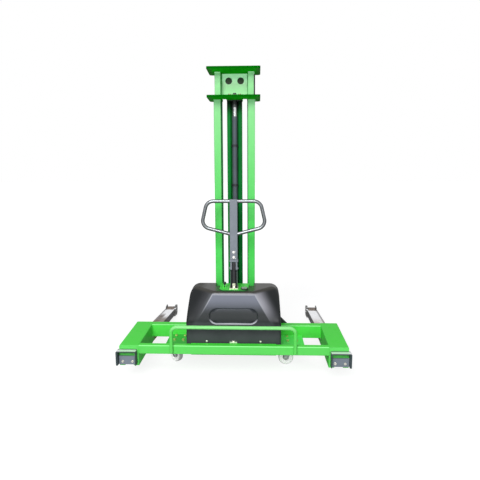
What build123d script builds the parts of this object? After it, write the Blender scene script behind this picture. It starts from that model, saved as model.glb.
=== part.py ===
from build123d import *
import os

# Self-loading stacker in millimetres. X is to the operator's right, Y points to the fork tips, Z is up.
# The sub-parts are drawn with Y counted from the rear ends of the side rails, and moved to the middle
# of the length when they are written. A name that ends in _X, _Y or _Z is a place, the rest are sizes.

# Chassis
RAIL_OUT = 700          # half of the overall width
RAIL_W = 120
RAIL_TOP = 245
RAIL_H = 130
RAIL_LEN = 428
RAIL_WALL = 4
RAIL_NOTCH = 34         # the rear wall is cut open below, this far from both sides
RAIL_BEND = 7           # outside bend radius of the rail sheet
RAIL_IN = RAIL_OUT - RAIL_W
RAIL_BOTTOM = RAIL_TOP - RAIL_H
BEAM_WALL = 4
REAR_BEAM_D = 38
REAR_BEAM_H = 55
FRONT_BEAM_D = 56
FRONT_BEAM_H = 89
BEAM_BEND = 4
FRONT_BEAM_Y = RAIL_LEN - FRONT_BEAM_D
TRAY_TOP = 176
TRAY_T = 8
TRAY_FLOOR_T = 4
TRAY_X = 262            # half width of the base tray
TRAY_LIP = 6
CASTOR_PLATE_X = 453    # outer edge of the castor plates
CASTOR_PLATE_Y = 120

# Rear end brackets of the rails
BRACKET_DEPTH = 45
BRACKET_TOP = 220
BRACKET_BOTTOM = 131
BRACKET_WALL = 5        # the outer wall is thicker and reaches to the rail's side
BRACKET_OVER = 1        # the bracket is this much wider than the rail at each side
BRACKET_SHIFT = 10      # and set outward from it
END_PLATE_T = 8
END_PLATE_Y = -13
END_PLATE_Z = 126
END_PLATE_TOP = 180
END_BOLT_D = 8
END_BOLT_PITCH = 60
END_BOLT_Z = 146

# Front legs, hinged in the rails on a cross pin
LEG_IN = 586
LEG_W = 84
LEG_H = 57
LEG_WALL = 7
LEG_TOP_T = 8
LEG_SLOPE = 6.3         # degrees below level
LEG_PIN_Y = 385
LEG_PIN_Z = 152
LEG_PIN_D = 16
LEG_OVER_PIN = 14       # from the pin to the top of the leg
LEG_TAIL = 320
LEG_FRONT = 845
LEG_CHEEK = 925
LEG_STOP_Y = 40
LEG_STOP_LEN = 35
LEG_STOP_TOP = 142.2
EAR_R = 40
EAR_T = 10              # the inner ear is a plate on the outside of its wall
EAR_Y = 1305
EAR_Z = 43
EAR_BACK_Y = 1200
EAR_BACK_Z = 20
LEG_ROLLER_D = 76
LEG_ROLLER_W = 62
LEG_ROLLER_Y = 1305
LEG_AXLE_D = 16

# Swivel castors
CASTOR_X = 378
CASTOR_Y = 308
CASTOR_TRAIL = 38       # the wheels trail to the left at rest
LEFT_SWIVEL = -40       # and the left one is turned by this much more
CASTOR_WHEEL_D = 100
CASTOR_WHEEL_W = 32
CASTOR_AXLE_D = 12
CASTOR_TOP_X = 85
CASTOR_TOP_Y = 105
CASTOR_TOP_T = 5
CASTOR_HOLES_X = 60
CASTOR_HOLES_Y = 80
CASTOR_BOLT_D = 10
RACE_D = 60
RACE_T = 12
KINGPIN_D = 14
KINGPIN_HEAD_D = 24
KINGPIN_HEAD_T = 4
CROWN_D = 56
CROWN_T = 18
SWIVEL_GAP = 0.4
CASTOR_CHEEK_T = 4
CASTOR_CHEEK_GAP = 3    # between the wheel and a cheek
CASTOR_CHEEK_R = 16

# Push bar
PUSH_D = 22
PUSH_X = 376
PUSH_Z = 366
PUSH_FOOT_Z = 203
PUSH_BEND = 38
TUBE_WALL = 2.5
PUSH_SINK = 1           # the tube is flattened by this much where it is welded on

# Cover
COVER_Y = 60
COVER_BACK_Y = 300
COVER_TOP = 558
COVER_NOTCH_X = 122     # half width of the notch in front of the mast
COVER_NOTCH_Y = 230
COVER_FOOT_X = 291
COVER_WAIST_X = 290
COVER_WAIST_Z = 365
COVER_TOP_X = 279
COVER_ROUND = 55
COVER_WALL = 5
FACET_TOP_X = 122       # half width of the front panel at the top
FACET_LOW_X = 224       # half width where the side facets run out
FACET_LOW_Z = 380
FACET_FALL = 1.05       # how fast a side facet falls back at the top, per mm of width
FACET_REACH = 400
COVER_LEAN = 0.20       # how fast the front falls back above the facets' foot, per mm of height
RECESS_LEN = 308
RECESS_H = 101
RECESS_Z = 412
RECESS_DEPTH = 3.5
COVER_SCREW_X = 167
COVER_SCREW_Z = 253
LATCH_Z = 250
LATCH_LEN = 46
LATCH_DISC_D = 16
LATCH_SPINDLE_D = 8

# Mast: fixed pillar, rising columns
PILLAR_W = 95
PILLAR_Y = 345
PILLAR_D = 50
PILLAR_WALL = 5
PILLAR_LIP = 21
PILLAR_TOP = 1730
FOOT_X = 75
FOOT_Y = 300
FOOT_T = 10
COLUMN_OUT = 129
COLUMN_FLANGE = 43
COLUMN_REAR_FLANGE = 50
COLUMN_WEB = 80
COLUMN_WEB_T = 5
COLUMN_FLANGE_T = 8
COLUMN_Y = 320
COLUMN_FOOT = 250
COLUMN_STEP = 8         # the columns are narrower by this much inside the head
LOWER_PLATE_Z = 1734.5
HEAD_PLATE_T = 13
TOP_PLATE_Z = 1898.5
HEAD_X = 162
HEAD_Y = 207
HEAD_BACK_Y = 438
HEAD_CORNER = 12
HEAD_BACK_CORNER = 22
HEAD_NOTCH_Y = 314      # the lower plate is cut open from here between pillar and columns
HEAD_TONGUE_X = 50      # half width of the tongue that is left for the rod
FACE_PLATE_Y = 386
FACE_PLATE_T = 6
FACE_HOLE_X = 38
FACE_HOLE_Z = 1856
FACE_HOLE_D = 43
BACK_PLATE_X = 129
BACK_PLATE_Y = 402

# Lift cylinder
BARREL_Y = 368
BARREL_D = 33
BARREL_BORE = 29
BARREL_TOP = 1635
GLAND_D = 35
GLAND_H = 25
CLAMP_D = 42
CLAMP_H = 14
CLAMP_Z = (1202, 1453)
CYLINDER_FLOOR = 20     # thickness of the closed lower end
ROD_D = 28
ROD_FOOT = 290
PISTON_H = 40
FIT = 0.05              # radial clearance of a running fit
ROD_BOSS_D = 34
ROD_BOSS_Z = 1691
ROD_FLANGE_X = 45
ROD_FLANGE_T = 4
STUD_D = 20
STUD_TOP = 1779
ROD_NUT_H = 24
HEAD_BOLT_X = 32
HEAD_BOLT_D = 10
HEAD_SLEEVE_H = 18      # spacer under each head bolt

# Fork carriage and forks
CARRIAGE_Y = COLUMN_Y + COLUMN_WEB
CARRIAGE_T = 12
CARRIAGE_FOOT = 262
CARRIAGE_TOP = 520
CHEEK_X = 60
CHEEK_T = 12
CHEEK_FOOT = 270
CHEEK_TOP = 500
GUSSET_X = 95
GUSSET_TOP = 490
FORK_BAR_Y = 436
FORK_BAR_T = 16
FORK_BAR_X = 360
FORK_BAR_FOOT = 62
FORK_BAR_SIDE = 232
FORK_BAR_TOP = 300
FORK_BAR_TOP_X = 292
PAD_GAP = 0.6
PAD_H = 40
PAD_Z = (285, 450)
FORK_X = 180
FORK_W = 110
FORK_Y = FORK_BAR_Y + FORK_BAR_T
FORK_T = 35
FORK_FOOT = 52
FORK_TIP_Y = 1495
FORK_TAPER = 230
FORK_TIP_T = 12

# Tiller
TILLER_Y = 155
TILLER_PLATE_Z = 562
TILLER_PLATE_T = 8
TILLER_PLATE_X = 90
TILLER_PLATE_Y = 98
TILLER_PLATE_BACK_Y = 264
TILLER_PLATE_CORNER = 35
NECK_X = 40             # the neck drops behind the plate and runs to the pillar
NECK_Y = 244
NECK_Z = 536
NECK_T = 10
PLATE_RIB_X = 30
PLATE_RIB_T = 8
PLATE_RIB_FOOT = 330
POST_X = 22
POST_D = 36
POST_SHOULDER = 680
POST_TONGUE_X = 11.5
POST_TONGUE_D = 22
POST_TOP = 730
POST_FLANGE_X = 27
POST_FLANGE_D = 84
POST_FLANGE_T = 8
POST_BOLT_X = 15
POST_BOLT_Y = 30
POST_BOLT_D = 8
TILLER_PIN_Z = 694
TILLER_PIN_D = 12
CLEVIS_X = 12
CLEVIS_T = 10
CLEVIS_D = 26
COLLAR_Z = 738
COLLAR_H = 14
COLLAR_X = 26
COLLAR_D = 36
STEM_X = 24
STEM_D = 30
LOOP_D = 23
LOOP_ROOT_Z = 906
LOOP_SIDE_X = 200
LOOP_SIDE_Z = 957
LOOP_TOP_X = 163
LOOP_TOP_Z = 1113.5
LOOP_BEND = 50
STEM_TOP = LOOP_TOP_Z + LOOP_D / 2
BUTTON_Z = (768, 800)   # lowering button, raising button
BUTTON_D = 18
BUTTON_GAP = 0.3
BUTTON_OUT = 6
BUTTON_PLATE_X = 14
BUTTON_PLATE_T = 3
BUTTON_PLATE_MARGIN = 11
POCKET_DEPTH = 14

# Lever and switch on the tiller plate
LEVER_X = -58
LEVER_Z = 582
LEVER_PIN_D = 6
LEVER_T = 6
LEVER_HUB_R = 7
LEVER_KNOB_D = 18
LEVER_KNOB_Z = 600
LEVER_CHEEK_T = 5
LEVER_CHEEK_GAP = 1
LEVER_MOUNT_D = 22
SWITCH_X = 65
SWITCH_Y = 122
SWITCH_D = 46
SWITCH_H = 13
SWITCH_SPINDLE_D = 8

# Power unit under the cover
BATTERY_X = (-250, -60)
BATTERY_Y = (75, 245)
BATTERY_H = 200
TANK_X = (-48, 78)
TANK_Y = (80, 230)
TANK_H = 215
PUMP_X = (90, 190)
PUMP_Y = (100, 200)
PUMP_H = 80
MOTOR_D = 96
MOTOR_H = 165
HOSE_D = 14
HOSE_Z = 300

Y_MID = (FORK_TIP_Y - BRACKET_DEPTH) / 2


def block(x, y, z):
    """A box between the limits of x, y and z."""
    size = Box(x[1] - x[0], y[1] - y[0], z[1] - z[0])
    return Pos((x[0] + x[1]) / 2, (y[0] + y[1]) / 2, (z[0] + z[1]) / 2) * size


def both_sides(inner, outer):
    """The limits of a right-hand span and of its mirror image."""
    return ((inner, outer), (-outer, -inner))


def mirrored(shape):
    """The left-hand copy of a right-hand shape."""
    return mirror(shape, about=Plane.YZ)


def upright(x, y, z, diameter):
    """A cylinder along Z at x, y between the limits of z."""
    return Pos(x, y, (z[0] + z[1]) / 2) * Cylinder(diameter / 2, z[1] - z[0])


def across(x, y, z, diameter):
    """A cylinder along X at y, z between the limits of x."""
    return Pos((x[0] + x[1]) / 2, y, z) * Rot(Y=90) * Cylinder(diameter / 2, x[1] - x[0])


def along(x, y, z, diameter):
    """A cylinder along Y at x, z between the limits of y."""
    return Pos(x, (y[0] + y[1]) / 2, z) * Rot(X=90) * Cylinder(diameter / 2, y[1] - y[0])


def side_prism(points, x):
    """A prism along X whose outline is given as y, z points."""
    plane = Plane(origin=(x[0], 0, 0), x_dir=(0, 1, 0), z_dir=(1, 0, 0))
    return extrude(plane * Polygon(*points, align=None), amount=x[1] - x[0], dir=(1, 0, 0))


def front_prism(face, y):
    """A prism along Y whose face is drawn as x, z."""
    plane = Plane(origin=(0, y[1], 0), x_dir=(1, 0, 0), z_dir=(0, -1, 0))
    return extrude(plane * face, amount=y[1] - y[0], dir=(0, -1, 0))


def hex_bolt(diameter, shank, washer=True):
    """A hexagon bolt pointing down, its washer resting on z = 0."""
    seat = 0.2 * diameter if washer else 0
    head = extrude(RegularPolygon(0.9 * diameter, 6), amount=0.65 * diameter)
    body = Pos(0, 0, seat) * head + Pos(0, 0, (seat - shank) / 2) * Cylinder(diameter / 2, shank + seat)
    if washer:
        body += Pos(0, 0, seat / 2) * Cylinder(diameter, seat)
    return body


def box_tube(x, y, z):
    """A rectangular tube along X with rounded long edges."""
    outside = block(x, y, z)
    outside = fillet(outside.edges().filter_by(Axis.X), BEAM_BEND)
    inside = block(x, (y[0] + BEAM_WALL, y[1] - BEAM_WALL), (z[0] + BEAM_WALL, z[1] - BEAM_WALL))
    return outside - inside


def bent_tube(points, y, diameter, bend):
    """A round tube along a path of x, z points at one y, with bent corners."""
    path = FilletPolyline(*[(px, y, pz) for px, pz in points], radius=bend)
    start = Plane(origin=path @ 0, z_dir=path % 0)
    return sweep(start * (Circle(diameter / 2) - Circle(diameter / 2 - TUBE_WALL)), path=path)


def side_rail():
    """Right-hand rail: an inverted channel closed at the rear, with the stop block of the leg's tail."""
    rail = block((RAIL_IN, RAIL_OUT), (0, RAIL_LEN), (RAIL_BOTTOM, RAIL_TOP))
    rail = fillet(rail.edges().filter_by(Axis.Y).group_by(Axis.Z)[-1], RAIL_BEND)
    inside = (RAIL_IN + RAIL_WALL, RAIL_OUT - RAIL_WALL)
    rail -= block(inside, (RAIL_WALL, RAIL_LEN), (RAIL_BOTTOM, RAIL_TOP - RAIL_WALL))
    rail += block(inside, (LEG_STOP_Y, LEG_STOP_Y + LEG_STOP_LEN), (RAIL_BOTTOM, LEG_STOP_TOP))
    notch = (RAIL_IN + RAIL_NOTCH, RAIL_OUT - RAIL_NOTCH)
    rail -= block(notch, (0, RAIL_WALL), (RAIL_BOTTOM, END_PLATE_Z))
    return rail - across((RAIL_IN, RAIL_OUT), LEG_PIN_Y, LEG_PIN_Z, LEG_PIN_D)


def end_bracket():
    """Right-hand inverted-U bracket welded on the rear end of the rail."""
    x = (RAIL_IN - BRACKET_OVER + BRACKET_SHIFT, RAIL_OUT + BRACKET_OVER + BRACKET_SHIFT)
    bracket = block(x, (-BRACKET_DEPTH, 0), (BRACKET_BOTTOM, BRACKET_TOP))
    bracket = fillet(bracket.edges().filter_by(Axis.Y).group_by(Axis.Z)[-1], RAIL_BEND)
    inside = (x[0] + BRACKET_WALL, RAIL_OUT)
    return bracket - block(inside, (-BRACKET_DEPTH, 0), (BRACKET_BOTTOM, BRACKET_TOP - BRACKET_WALL))


def end_plate(bolts):
    """Right-hand plate set back in the bracket, and its two bolts as separate solids."""
    span = (RAIL_IN - BRACKET_OVER + BRACKET_SHIFT + BRACKET_WALL, RAIL_OUT)
    middle = sum(span) / 2
    y = (END_PLATE_Y, END_PLATE_Y + END_PLATE_T)
    plate = block(span, y, (END_PLATE_Z, END_PLATE_TOP))
    for x in (middle - END_BOLT_PITCH / 2, middle + END_BOLT_PITCH / 2):
        plate -= along(x, y, END_BOLT_Z, END_BOLT_D)
        bolt = Rot(X=90) * hex_bolt(END_BOLT_D, 1.5 * END_PLATE_T)
        bolts.append(Pos(x, END_PLATE_Y, END_BOLT_Z) * bolt)
    return plate


def castor_plate(side, bolts):
    """Flat plate beside the tray that one castor is bolted to, with its four bolts."""
    x = (TRAY_X, CASTOR_PLATE_X) if side > 0 else (-CASTOR_PLATE_X, -TRAY_X)
    plate = block(x, (CASTOR_PLATE_Y, FRONT_BEAM_Y), (TRAY_TOP - TRAY_T, TRAY_TOP))
    for dx, dy in castor_holes():
        plate -= upright(side * CASTOR_X + dx, CASTOR_Y + dy, (TRAY_TOP - TRAY_T, TRAY_TOP), CASTOR_BOLT_D)
        bolt = hex_bolt(CASTOR_BOLT_D, TRAY_T + CASTOR_TOP_T)
        bolts.append(Pos(side * CASTOR_X + dx, CASTOR_Y + dy, TRAY_TOP) * bolt)
    return plate


def castor_holes():
    """Bolt places of a castor, counted from its swivel axis."""
    return [(dx * CASTOR_HOLES_X / 2, dy * CASTOR_HOLES_Y / 2) for dx in (-1, 1) for dy in (-1, 1)]


def castor_top():
    """Fixed top of a castor on its swivel axis: plate, race and king pin."""
    z = TRAY_TOP - TRAY_T
    plate = block((-CASTOR_TOP_X / 2, CASTOR_TOP_X / 2), (-CASTOR_TOP_Y / 2, CASTOR_TOP_Y / 2), (z - CASTOR_TOP_T, z))
    for dx, dy in castor_holes():
        plate -= upright(dx, dy, (z - CASTOR_TOP_T, z), CASTOR_BOLT_D)
    race = z - CASTOR_TOP_T - RACE_T
    pin_end = race - CROWN_T - 2 * SWIVEL_GAP - KINGPIN_HEAD_T
    top = plate + upright(0, 0, (race, z - CASTOR_TOP_T), RACE_D)
    top += upright(0, 0, (pin_end, race), KINGPIN_D)
    return top + upright(0, 0, (pin_end, pin_end + KINGPIN_HEAD_T), KINGPIN_HEAD_D)


def castor_fork():
    """Swivelling fork with its riveted axle, trailing to -X."""
    crown_top = TRAY_TOP - TRAY_T - CASTOR_TOP_T - RACE_T - SWIVEL_GAP
    crown = upright(0, 0, (crown_top - CROWN_T, crown_top), CROWN_D)
    inner = CASTOR_WHEEL_W / 2 + CASTOR_CHEEK_GAP
    radius = CASTOR_WHEEL_D / 2
    low = (-CASTOR_TRAIL - CASTOR_CHEEK_R, radius)
    outline = [low, (-CROWN_D / 2, crown_top), (CROWN_D / 2, crown_top),
               (CROWN_D / 2, crown_top - CROWN_T), (-CASTOR_TRAIL + CASTOR_CHEEK_R, radius)]
    fork = crown
    for y in both_sides(inner, inner + CASTOR_CHEEK_T):
        fork += front_prism(Polygon(*outline, align=None), y)
        fork += along(-CASTOR_TRAIL, y, radius, 2 * CASTOR_CHEEK_R)
    fork -= upright(0, 0, (0, crown_top), KINGPIN_D + 2 * FIT)
    end = inner + 2 * CASTOR_CHEEK_T
    return fork + along(-CASTOR_TRAIL, (-end, end), radius, CASTOR_AXLE_D)


def castor_wheel():
    """Nylon wheel with a raised hub and a groove at each face."""
    half = CASTOR_WHEEL_W / 2
    radius = CASTOR_WHEEL_D / 2
    wheel = along(-CASTOR_TRAIL, (-half, half), radius, CASTOR_WHEEL_D)
    wheel = fillet(wheel.edges().filter_by(GeomType.CIRCLE), 0.1 * radius)
    for y in both_sides(0.6 * half, half):
        ring = along(-CASTOR_TRAIL, y, radius, 1.5 * radius) - along(-CASTOR_TRAIL, y, radius, 0.7 * radius)
        wheel -= ring
    return wheel - along(-CASTOR_TRAIL, (-half, half), radius, CASTOR_AXLE_D + 2 * FIT)


def push_bar():
    """Low tube that the raised machine is pushed in with."""
    points = [(-PUSH_X, PUSH_FOOT_Z), (-PUSH_X, PUSH_Z), (PUSH_X, PUSH_Z), (PUSH_X, PUSH_FOOT_Z)]
    tube = bent_tube(points, PUSH_SINK - PUSH_D / 2, PUSH_D, PUSH_BEND)
    return tube - block((-RAIL_IN, RAIL_IN), (0, REAR_BEAM_D), (0, RAIL_TOP))


def base_tray():
    """Folded tray between the beams that carries the power unit."""
    tray = block((-TRAY_X, TRAY_X), (REAR_BEAM_D, FRONT_BEAM_Y), (TRAY_TOP - TRAY_FLOOR_T, TRAY_TOP))
    tray += block((-TRAY_X, TRAY_X), (REAR_BEAM_D, REAR_BEAM_D + TRAY_LIP), (TRAY_TOP, RAIL_TOP))
    return tray


def leg_place():
    """Place of a leg: its own Y runs down the slope from the hinge pin."""
    return Pos(0, LEG_PIN_Y, LEG_PIN_Z) * Rot(X=-LEG_SLOPE)


def leg():
    """Right-hand front leg: inverted channel, two cheeks at the tip with ears that are pointed at the top."""
    x = (LEG_IN, LEG_IN + LEG_W)
    z = (LEG_OVER_PIN - LEG_H, LEG_OVER_PIN)
    inside = (x[0] + LEG_WALL, x[1] - LEG_WALL)
    channel = block(x, (-LEG_TAIL, LEG_CHEEK), z)
    channel -= block(inside, (-LEG_TAIL, LEG_CHEEK), (z[0], z[1] - LEG_TOP_T))
    channel -= block(inside, (LEG_FRONT, LEG_CHEEK), z)
    channel -= across(x, 0, 0, LEG_PIN_D + 2 * FIT)
    body = leg_place() * channel
    foot = EAR_Z - EAR_R
    rear = [(EAR_BACK_Y, EAR_BACK_Z), (EAR_Y, foot), (EAR_Y, EAR_Z), (EAR_BACK_Y, EAR_Z)]
    for wall in ((x[0] - EAR_T, inside[0]), (inside[1], x[1])):
        body += across(wall, EAR_Y, EAR_Z, 2 * EAR_R) + side_prism(rear, wall)
        body += block(wall, (EAR_Y, EAR_Y + EAR_R), (EAR_Z, EAR_Z + EAR_R))
    return body - across((x[0] - EAR_T, x[1]), LEG_ROLLER_Y, LEG_ROLLER_D / 2, LEG_AXLE_D)


def leg_roller():
    """Right-hand load roller on its axle."""
    middle = LEG_IN + LEG_W / 2
    x = (middle - LEG_ROLLER_W / 2, middle + LEG_ROLLER_W / 2)
    roller = across(x, LEG_ROLLER_Y, LEG_ROLLER_D / 2, LEG_ROLLER_D)
    roller = chamfer(roller.edges().filter_by(GeomType.CIRCLE), 3)
    return roller - across(x, LEG_ROLLER_Y, LEG_ROLLER_D / 2, LEG_AXLE_D + 2 * FIT)


def leg_axle():
    """Right-hand roller axle with a head at each end."""
    x = (LEG_IN - EAR_T, LEG_IN + LEG_W)
    axle = across(x, LEG_ROLLER_Y, LEG_ROLLER_D / 2, LEG_AXLE_D)
    for end in ((x[0] - CASTOR_CHEEK_T, x[0]), (x[1], x[1] + CASTOR_CHEEK_T)):
        axle += across(end, LEG_ROLLER_Y, LEG_ROLLER_D / 2, 1.5 * LEG_AXLE_D)
    return axle


def facet_cut(inset):
    """Space in front of the right-hand side facet, which twists from the flat front to a slant at the top."""
    front = COVER_Y + inset
    over = COVER_TOP + COVER_WALL
    low_z = FACET_LOW_Z - inset
    low_x = FACET_LOW_X - inset
    top_x = FACET_TOP_X - inset
    lean = front + COVER_LEAN * (over - low_z)
    fall = lean + FACET_FALL * (FACET_REACH - top_x)
    low = Polygon((low_x, front), (FACET_REACH, front), (FACET_REACH, 0), (low_x, 0), align=None)
    top = Polygon((top_x, lean), (FACET_REACH, fall), (FACET_REACH, 0), (top_x, 0), align=None)
    return loft([Pos(0, 0, low_z) * low, Pos(0, 0, over) * top], ruled=True)


def lean_cut(inset):
    """Space in front of the front panel, which leans back from the foot of the facets to the top."""
    front = COVER_Y + inset
    over = COVER_TOP + COVER_WALL
    low_z = FACET_LOW_Z - inset
    lean = front + COVER_LEAN * (over - low_z)
    return side_prism([(front, low_z), (lean, over), (front, over)], (-FACET_REACH, FACET_REACH))


def cover_block(inset):
    """Outer form of the cover, or its hollow when inset by the wall."""
    top = COVER_TOP - inset
    half = [(COVER_FOOT_X, TRAY_TOP), (COVER_WAIST_X, COVER_WAIST_Z), (COVER_TOP_X, COVER_TOP)]
    half = [(x - inset, min(z, top)) for x, z in half]
    outline = Polygon(*half, *[(-x, z) for x, z in reversed(half)], align=None)
    outline = fillet(outline.vertices().group_by(Axis.Y)[-1], COVER_ROUND - inset)
    form = front_prism(outline, (COVER_Y + inset, COVER_BACK_Y))
    facet = facet_cut(inset)
    return form - lean_cut(inset) - facet - mirrored(facet)


def cover():
    """Moulded cover, open at the foot and notched around the mast, with a bare oblong recess in front."""
    shell = cover_block(0) - cover_block(COVER_WALL)
    shell -= block((-COVER_NOTCH_X, COVER_NOTCH_X), (COVER_NOTCH_Y, COVER_BACK_Y), (COVER_WAIST_Z, COVER_TOP))
    recess = Pos(0, 0, RECESS_Z) * front_prism(SlotOverall(RECESS_LEN, RECESS_H), (COVER_Y, COVER_NOTCH_Y))
    shell -= recess - Pos(0, RECESS_DEPTH, 0) * cover_block(0)
    wall = (COVER_Y, COVER_Y + COVER_WALL)
    for x in (-COVER_SCREW_X, COVER_SCREW_X):
        shell -= along(x, wall, COVER_SCREW_Z, COVER_WALL)
    return shell - along(0, wall, LATCH_Z, LATCH_SPINDLE_D + 2 * FIT)


def cover_screw(x):
    """Pan-head screw in the cover's lower edge."""
    shank = along(x, (COVER_Y, COVER_Y + 3 * COVER_WALL), COVER_SCREW_Z, COVER_WALL)
    head = along(x, (COVER_Y - COVER_WALL, COVER_Y), COVER_SCREW_Z, 2.6 * COVER_WALL)
    return shank + fillet(head.edges().group_by(Axis.Y)[0], 0.5 * COVER_WALL)


def cover_latch():
    """Quarter-turn wing latch of the cover."""
    wing = LATCH_LEN / 2
    latch = along(0, (COVER_Y - 6, COVER_Y - SWIVEL_GAP), LATCH_Z, LATCH_DISC_D)
    latch += block((-wing, wing), (COVER_Y - 14, COVER_Y - 6), (LATCH_Z - 4, LATCH_Z + 4))
    return latch + along(0, (COVER_Y - 6, COVER_Y + 3 * COVER_WALL), LATCH_Z, LATCH_SPINDLE_D)


def centre_pillar():
    """Lipped channel, open to the operator, that the lift cylinder stands in."""
    half = PILLAR_W / 2
    z = (RAIL_TOP + FOOT_T, PILLAR_TOP)
    pillar = block((-half, half), (PILLAR_Y, PILLAR_Y + PILLAR_D), z)
    inner = half - PILLAR_WALL
    pillar -= block((-inner, inner), (PILLAR_Y + PILLAR_WALL, PILLAR_Y + PILLAR_D - PILLAR_WALL), z)
    slot = half - PILLAR_LIP
    return pillar - block((-slot, slot), (PILLAR_Y, PILLAR_Y + PILLAR_WALL), z)


def mast_foot():
    """Plate that joins the pillar to the front beam, with a leg down to the tray."""
    foot = block((-FOOT_X, FOOT_X), (FOOT_Y, RAIL_LEN), (RAIL_TOP, RAIL_TOP + FOOT_T))
    return foot + block((-FOOT_X, FOOT_X), (FOOT_Y, FOOT_Y + FOOT_T), (TRAY_TOP, RAIL_TOP))


def column_piece(outer, z):
    """Right-hand channel open inward between the limits of z, its rear flange a little wider."""
    y = (COLUMN_Y, COLUMN_Y + COLUMN_WEB)
    channel = block((outer - COLUMN_WEB_T, outer), y, z)
    channel += block((COLUMN_OUT - COLUMN_FLANGE, outer), (y[0], y[0] + COLUMN_FLANGE_T), z)
    return channel + block((COLUMN_OUT - COLUMN_REAR_FLANGE, outer), (y[1] - COLUMN_FLANGE_T, y[1]), z)


def mast_column():
    """Right-hand column, stepped in above the lower head plate."""
    step_z = LOWER_PLATE_Z + HEAD_PLATE_T
    column = column_piece(COLUMN_OUT, (COLUMN_FOOT, step_z))
    return column + column_piece(COLUMN_OUT - COLUMN_STEP, (step_z, TOP_PLATE_Z))


def head_plate(z):
    """Flat plate across the head of the mast, rounder at the back corners."""
    plate = block((-HEAD_X, HEAD_X), (HEAD_Y, HEAD_BACK_Y), (z, z + HEAD_PLATE_T))
    plate = fillet(plate.edges().filter_by(Axis.Z).group_by(Axis.Y)[-1], HEAD_BACK_CORNER)
    return fillet(plate.edges().filter_by(Axis.Z).group_by(Axis.Y)[0], HEAD_CORNER)


def face_plate():
    """Plate between the columns in the head, with two access holes."""
    half = COLUMN_OUT - COLUMN_REAR_FLANGE
    y = (FACE_PLATE_Y, FACE_PLATE_Y + FACE_PLATE_T)
    plate = block((-half, half), y, (LOWER_PLATE_Z + HEAD_PLATE_T, TOP_PLATE_Z))
    for x in (-FACE_HOLE_X, FACE_HOLE_X):
        plate -= along(x, y, FACE_HOLE_Z, FACE_HOLE_D)
    return plate


def cylinder_barrel():
    """Barrel with a closed foot, a gland at the top and a port for the hose."""
    foot = RAIL_TOP + FOOT_T
    barrel = upright(0, BARREL_Y, (foot, BARREL_TOP), BARREL_D)
    barrel += upright(0, BARREL_Y, (BARREL_TOP - GLAND_H, BARREL_TOP), GLAND_D)
    barrel -= upright(0, BARREL_Y, (foot + CYLINDER_FLOOR, BARREL_TOP - GLAND_H), BARREL_BORE)
    return barrel - upright(0, BARREL_Y, (BARREL_TOP - GLAND_H, BARREL_TOP), ROD_D + 2 * FIT)


def cylinder_clamp(z):
    """Band that holds the barrel to the back of the pillar."""
    span = (z - CLAMP_H / 2, z + CLAMP_H / 2)
    back = PILLAR_Y + PILLAR_D - PILLAR_WALL
    clamp = upright(0, BARREL_Y, span, CLAMP_D)
    clamp += block((-BARREL_D / 4, BARREL_D / 4), (BARREL_Y, back), span)
    return clamp - upright(0, BARREL_Y, span, BARREL_D)


def piston_rod():
    """Rod with its piston, the boss and flange under the lower head plate, and the stud through it."""
    rod = upright(0, BARREL_Y, (ROD_FOOT, LOWER_PLATE_Z), ROD_D)
    rod += upright(0, BARREL_Y, (ROD_FOOT, ROD_FOOT + PISTON_H), BARREL_BORE - 2 * FIT)
    rod += upright(0, BARREL_Y, (ROD_BOSS_Z, LOWER_PLATE_Z), ROD_BOSS_D)
    flange = (LOWER_PLATE_Z - ROD_FLANGE_T, LOWER_PLATE_Z)
    rod += block((-ROD_FLANGE_X, ROD_FLANGE_X), (PILLAR_Y, PILLAR_Y + PILLAR_D), flange)
    rod += upright(0, BARREL_Y, (LOWER_PLATE_Z, STUD_TOP), STUD_D)
    for x in (-HEAD_BOLT_X, HEAD_BOLT_X):
        rod -= upright(x, BARREL_Y, flange, HEAD_BOLT_D)
    return rod


def rod_nut():
    """Nut of the rod's stud, on top of the lower head plate."""
    seat = LOWER_PLATE_Z + HEAD_PLATE_T
    nut = extrude(RegularPolygon(0.87 * STUD_D, 6), amount=ROD_NUT_H)
    nut -= Pos(0, 0, ROD_NUT_H / 2) * Cylinder(STUD_D / 2, ROD_NUT_H)
    return Pos(0, BARREL_Y, seat) * nut


def fork_carriage():
    """Welded carriage: plate on the columns, inner cheeks, gussets over the beam and the fork bar."""
    plate_y = (CARRIAGE_Y, CARRIAGE_Y + CARRIAGE_T)
    carriage = block((-COLUMN_OUT, COLUMN_OUT), plate_y, (CARRIAGE_FOOT, CARRIAGE_TOP))
    half = [(FORK_BAR_X, FORK_BAR_FOOT), (FORK_BAR_X, FORK_BAR_SIDE), (FORK_BAR_TOP_X, FORK_BAR_TOP)]
    bar = Polygon(*half, *[(-x, z) for x, z in reversed(half)], align=None)
    carriage += front_prism(bar, (FORK_BAR_Y, FORK_BAR_Y + FORK_BAR_T))
    gusset = [(plate_y[1], CARRIAGE_FOOT), (FORK_BAR_Y, CARRIAGE_FOOT),
              (FORK_BAR_Y, FORK_BAR_TOP), (plate_y[1], GUSSET_TOP)]
    for x in both_sides(GUSSET_X, GUSSET_X + CHEEK_T):
        carriage += side_prism(gusset, x)
    for x in both_sides(CHEEK_X, CHEEK_X + CHEEK_T):
        carriage += block(x, (PILLAR_Y, CARRIAGE_Y), (CHEEK_FOOT, CHEEK_TOP))
    return carriage


def guide_pads():
    """Slide pads on the carriage cheeks that run on the sides of the pillar."""
    inset = PILLAR_WALL
    y = (PILLAR_Y + inset, PILLAR_Y + PILLAR_D - inset)
    pads = []
    for x in both_sides(PILLAR_W / 2 + PAD_GAP, CHEEK_X):
        pads += [block(x, y, (z, z + PAD_H)) for z in PAD_Z]
    return pads


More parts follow.
